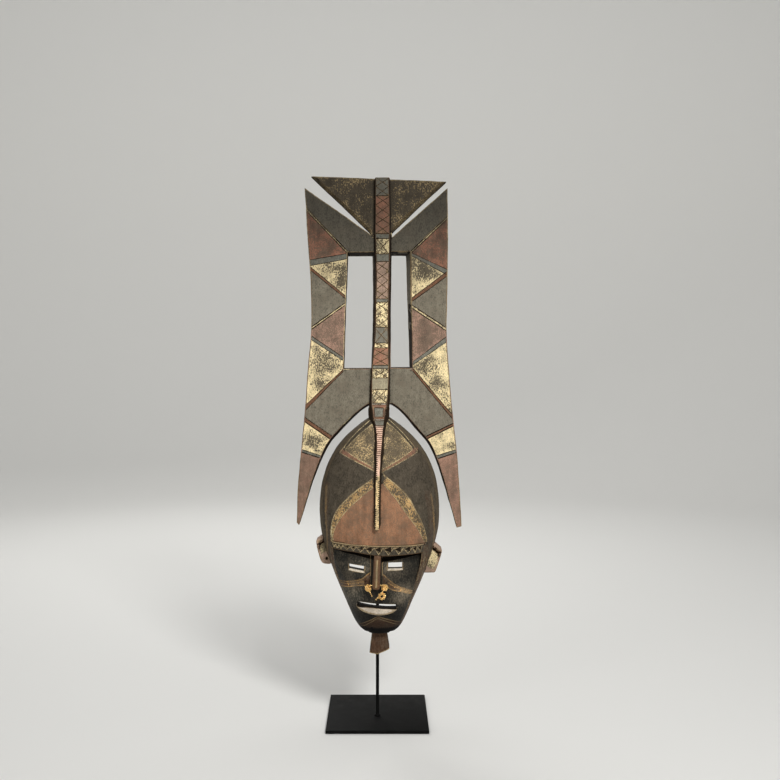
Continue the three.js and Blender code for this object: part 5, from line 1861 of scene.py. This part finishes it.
def turned(profile, sides, centre=(0, 0)):
    """Skin of a turned part: a profile of radius and height about an upright axis."""
    rings = []
    for radius, z in profile:
        rings.append(np.array([
            (centre[0] + radius * math.cos(2 * math.pi * i / sides),
             centre[1] + radius * math.sin(2 * math.pi * i / sides), z) for i in range(sides)]))
    return ring_skin(rings)


def rounded_bar(low, high, edge, name):
    """A straight bar between two corners, its edges rounded."""
    (x0, y0, z0), (x1, y1, z1) = low, high
    rings = [np.array([(x0, y0, z), (x1, y0, z), (x1, y1, z), (x0, y1, z)]) for z in (z0, z1)]
    made = solid(name, ring_skin(rings))
    bevel = made.modifiers.new("edges", "BEVEL")
    bevel.width = edge * MM
    bevel.segments = 3
    bevel.limit_method = "ANGLE"
    return bake(made)


class MASK_OT_set_stand(bpy.types.Operator):
    """Make the rod with its support and the plate that it stands on"""

    bl_idname = "mask.set_stand"
    bl_label = "Set up the stand"

    def execute(self, context):
        sizes = context.scene.mask_stand
        steel = black_steel(tuple(sizes.steel))
        radius = sizes.rod_radius / MM
        low, high = (np.array(corner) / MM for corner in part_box("stand_rod"))
        top = high[2]
        profile = [
            (radius - 0.5, low[2]), (radius, low[2] + 0.5), (radius, COLLAR[0][1]), *COLLAR,
            (radius, 10.6), (radius, top - 3)]
        rod = solid("rod_and_support", turned(profile, ROUND_SIDES, (0, ROD_Y)))
        saddle = rounded_bar(
            (SADDLE["left"], ROD_Y - SADDLE["front"], top - SADDLE["thickness"]),
            (SADDLE["right"], ROD_Y + SADDLE["back"], top), SADDLE["edge"], "saddle")
        tongue = rounded_bar(
            (-TONGUE["half"], TONGUE["front"], TONGUE["foot"]),
            (TONGUE["half"], TONGUE["back"], TONGUE["top"]), TONGUE["edge"], "tongue")
        arm = bore("arm", (0, (ROD_Y + ARM["end"]) / 2, ARM["z"]), ARM["radius"], "y",
                   abs(ROD_Y - ARM["end"]))
        carve(rod, "UNION", saddle, tongue, arm)
        shade(rod, 40)
        put_on(rod, steel, "black_steel", "stand_rod")

        half, thick = PLATE["half"], PLATE["thickness"]
        plate = rounded_bar((-half, -half, 0), (half, half, thick), sizes.plate_edge / MM, "steel_plate")
        hole = solid("rod_hole", turned([(3.4, -5), (3.4, 12)], ROUND_SIDES, (0, ROD_Y)))
        carve(plate, "DIFFERENCE", hole)
        shade(plate, 40)
        put_on(plate, steel, "black_steel", "base_plate")
        return {"FINISHED"}


class MASK_OT_set_stage(bpy.types.Operator):
    """Lay the floor and place the lights and the camera"""

    bl_idname = "mask.set_stage"
    bl_label = "Set the stage"

    def execute(self, context):
        scene = context.scene
        sizes = scene.mask_stage
        bend = [(2.8 + 1.8 * math.sin(a), 1.8 - 1.8 * math.cos(a)) for a in np.linspace(0, math.pi / 2, 16)]
        rings = [[(r * math.cos(t), r * math.sin(t), z) for t in np.arange(96) * math.pi / 48]
                 for r, z in [(0.01, 0), (1.4, 0), *bend, (4.6, 4.2)]]
        points, faces = ring_skin([np.array(ring) for ring in rings])
        mesh = bpy.data.meshes.new("floor")
        mesh.from_pydata(points[:-1].tolist(), [], [f[::-1] for f in faces if len(points) - 1 not in f])
        mesh.shade_smooth()
        floor = bpy.data.objects.new("floor", mesh)
        context.collection.objects.link(floor)
        finish, _, shader = new_finish("pale_floor")
        shader.inputs["Base Color"].default_value = (*sizes.floor, 1)
        shader.inputs["Roughness"].default_value = 0.85
        mesh.materials.append(finish)

        def lamp(name, place, aim, size, power):
            light = bpy.data.lights.new(name, "AREA")
            light.shape = "DISK"
            light.size = size
            light.energy = power
            holder = bpy.data.objects.new(name, light)
            holder.location = place
            holder.rotation_euler = (Vector(aim) - Vector(place)).to_track_quat("-Z", "Y").to_euler()
            context.collection.objects.link(holder)

        lamp("key", (0.75, -1.65, 1.9), (0, 0, 0.42), 0.55, sizes.key_power)
        lamp("fill", (-1.6, -1.8, 1.0), (0, 0, 0.4), 1.2, sizes.key_power * 0.25)
        lamp("back", (-0.9, 2.0, 2.0), (0, 0, 0.55), 1.2, sizes.key_power * 0.5)
        lamp("wall", (0, 0.8, 3.2), (0, 4.4, 1.4), 2.0, sizes.key_power * 1.4)

        world = scene.world or bpy.data.worlds.new("sky")
        scene.world = world
        world.use_nodes = True
        sky = world.node_tree.nodes.get("Background") or world.node_tree.nodes.new("ShaderNodeBackground")
        sky.inputs["Color"].default_value = (0.93, 0.95, 1.0, 1)
        sky.inputs["Strength"].default_value = sizes.sky
        scene.view_settings.view_transform = "Standard"
        scene.view_settings.look = "None"

        lens = bpy.data.cameras.new("camera")
        lens.sensor_width = 36
        lens.sensor_fit = "HORIZONTAL"
        lens.lens = sizes.lens
        lens.shift_x, lens.shift_y = (pixels / PHOTO_WIDTH for pixels in CAMERA_SHIFT)
        lens.clip_end = 100
        camera = bpy.data.objects.new("camera", lens)
        camera.location = CAMERA_PLACE
        camera.rotation_euler = (math.pi / 2, 0, 0)
        context.collection.objects.link(camera)
        scene.camera = camera
        return {"FINISHED"}


class MASK_PT_panel(bpy.types.Panel):
    """Buttons and sizes of the mask"""

    bl_label = "Carved plank mask"
    bl_idname = "MASK_PT_panel"
    bl_space_type = "VIEW_3D"
    bl_region_type = "UI"
    bl_category = "Mask"

    def draw(self, context):
        for operator, group in (
                (MASK_OT_carve, "mask_carving"), (None, "mask_paints"),
                (MASK_OT_thread_beads, "mask_beads"), (MASK_OT_set_stand, "mask_stand"),
                (MASK_OT_set_stage, "mask_stage")):
            column = self.layout.column(align=True)
            if operator:
                column.operator(operator.bl_idname)
            settings = getattr(context.scene, group)
            for name in settings.bl_rna.properties.keys():
                if name not in {"rna_type", "name"}:
                    column.prop(settings, name)


GROUPS = {
    "mask_carving": CarvingSizes,
    "mask_paints": PaintColours,
    "mask_beads": BeadSizes,
    "mask_stand": StandSizes,
    "mask_stage": StageSizes,
}
OPERATORS = (MASK_OT_carve, MASK_OT_thread_beads, MASK_OT_set_stand, MASK_OT_set_stage)


def register():
    """Adds the settings, the operators and the panel to Blender."""
    for name, group in GROUPS.items():
        bpy.utils.register_class(group)
        setattr(bpy.types.Scene, name, bpy.props.PointerProperty(type=group))
    for operator in OPERATORS:
        bpy.utils.register_class(operator)
    bpy.utils.register_class(MASK_PT_panel)


def unregister():
    """Takes them away again."""
    bpy.utils.unregister_class(MASK_PT_panel)
    for operator in reversed(OPERATORS):
        bpy.utils.unregister_class(operator)
    for name, group in GROUPS.items():
        delattr(bpy.types.Scene, name)
        bpy.utils.unregister_class(group)


def main():
    """Builds the whole scene."""
    register()
    bpy.ops.mask.carve()
    bpy.ops.mask.thread_beads()
    bpy.ops.mask.set_stand()
    bpy.ops.mask.set_stage()


if __name__ == "__main__":
    main()
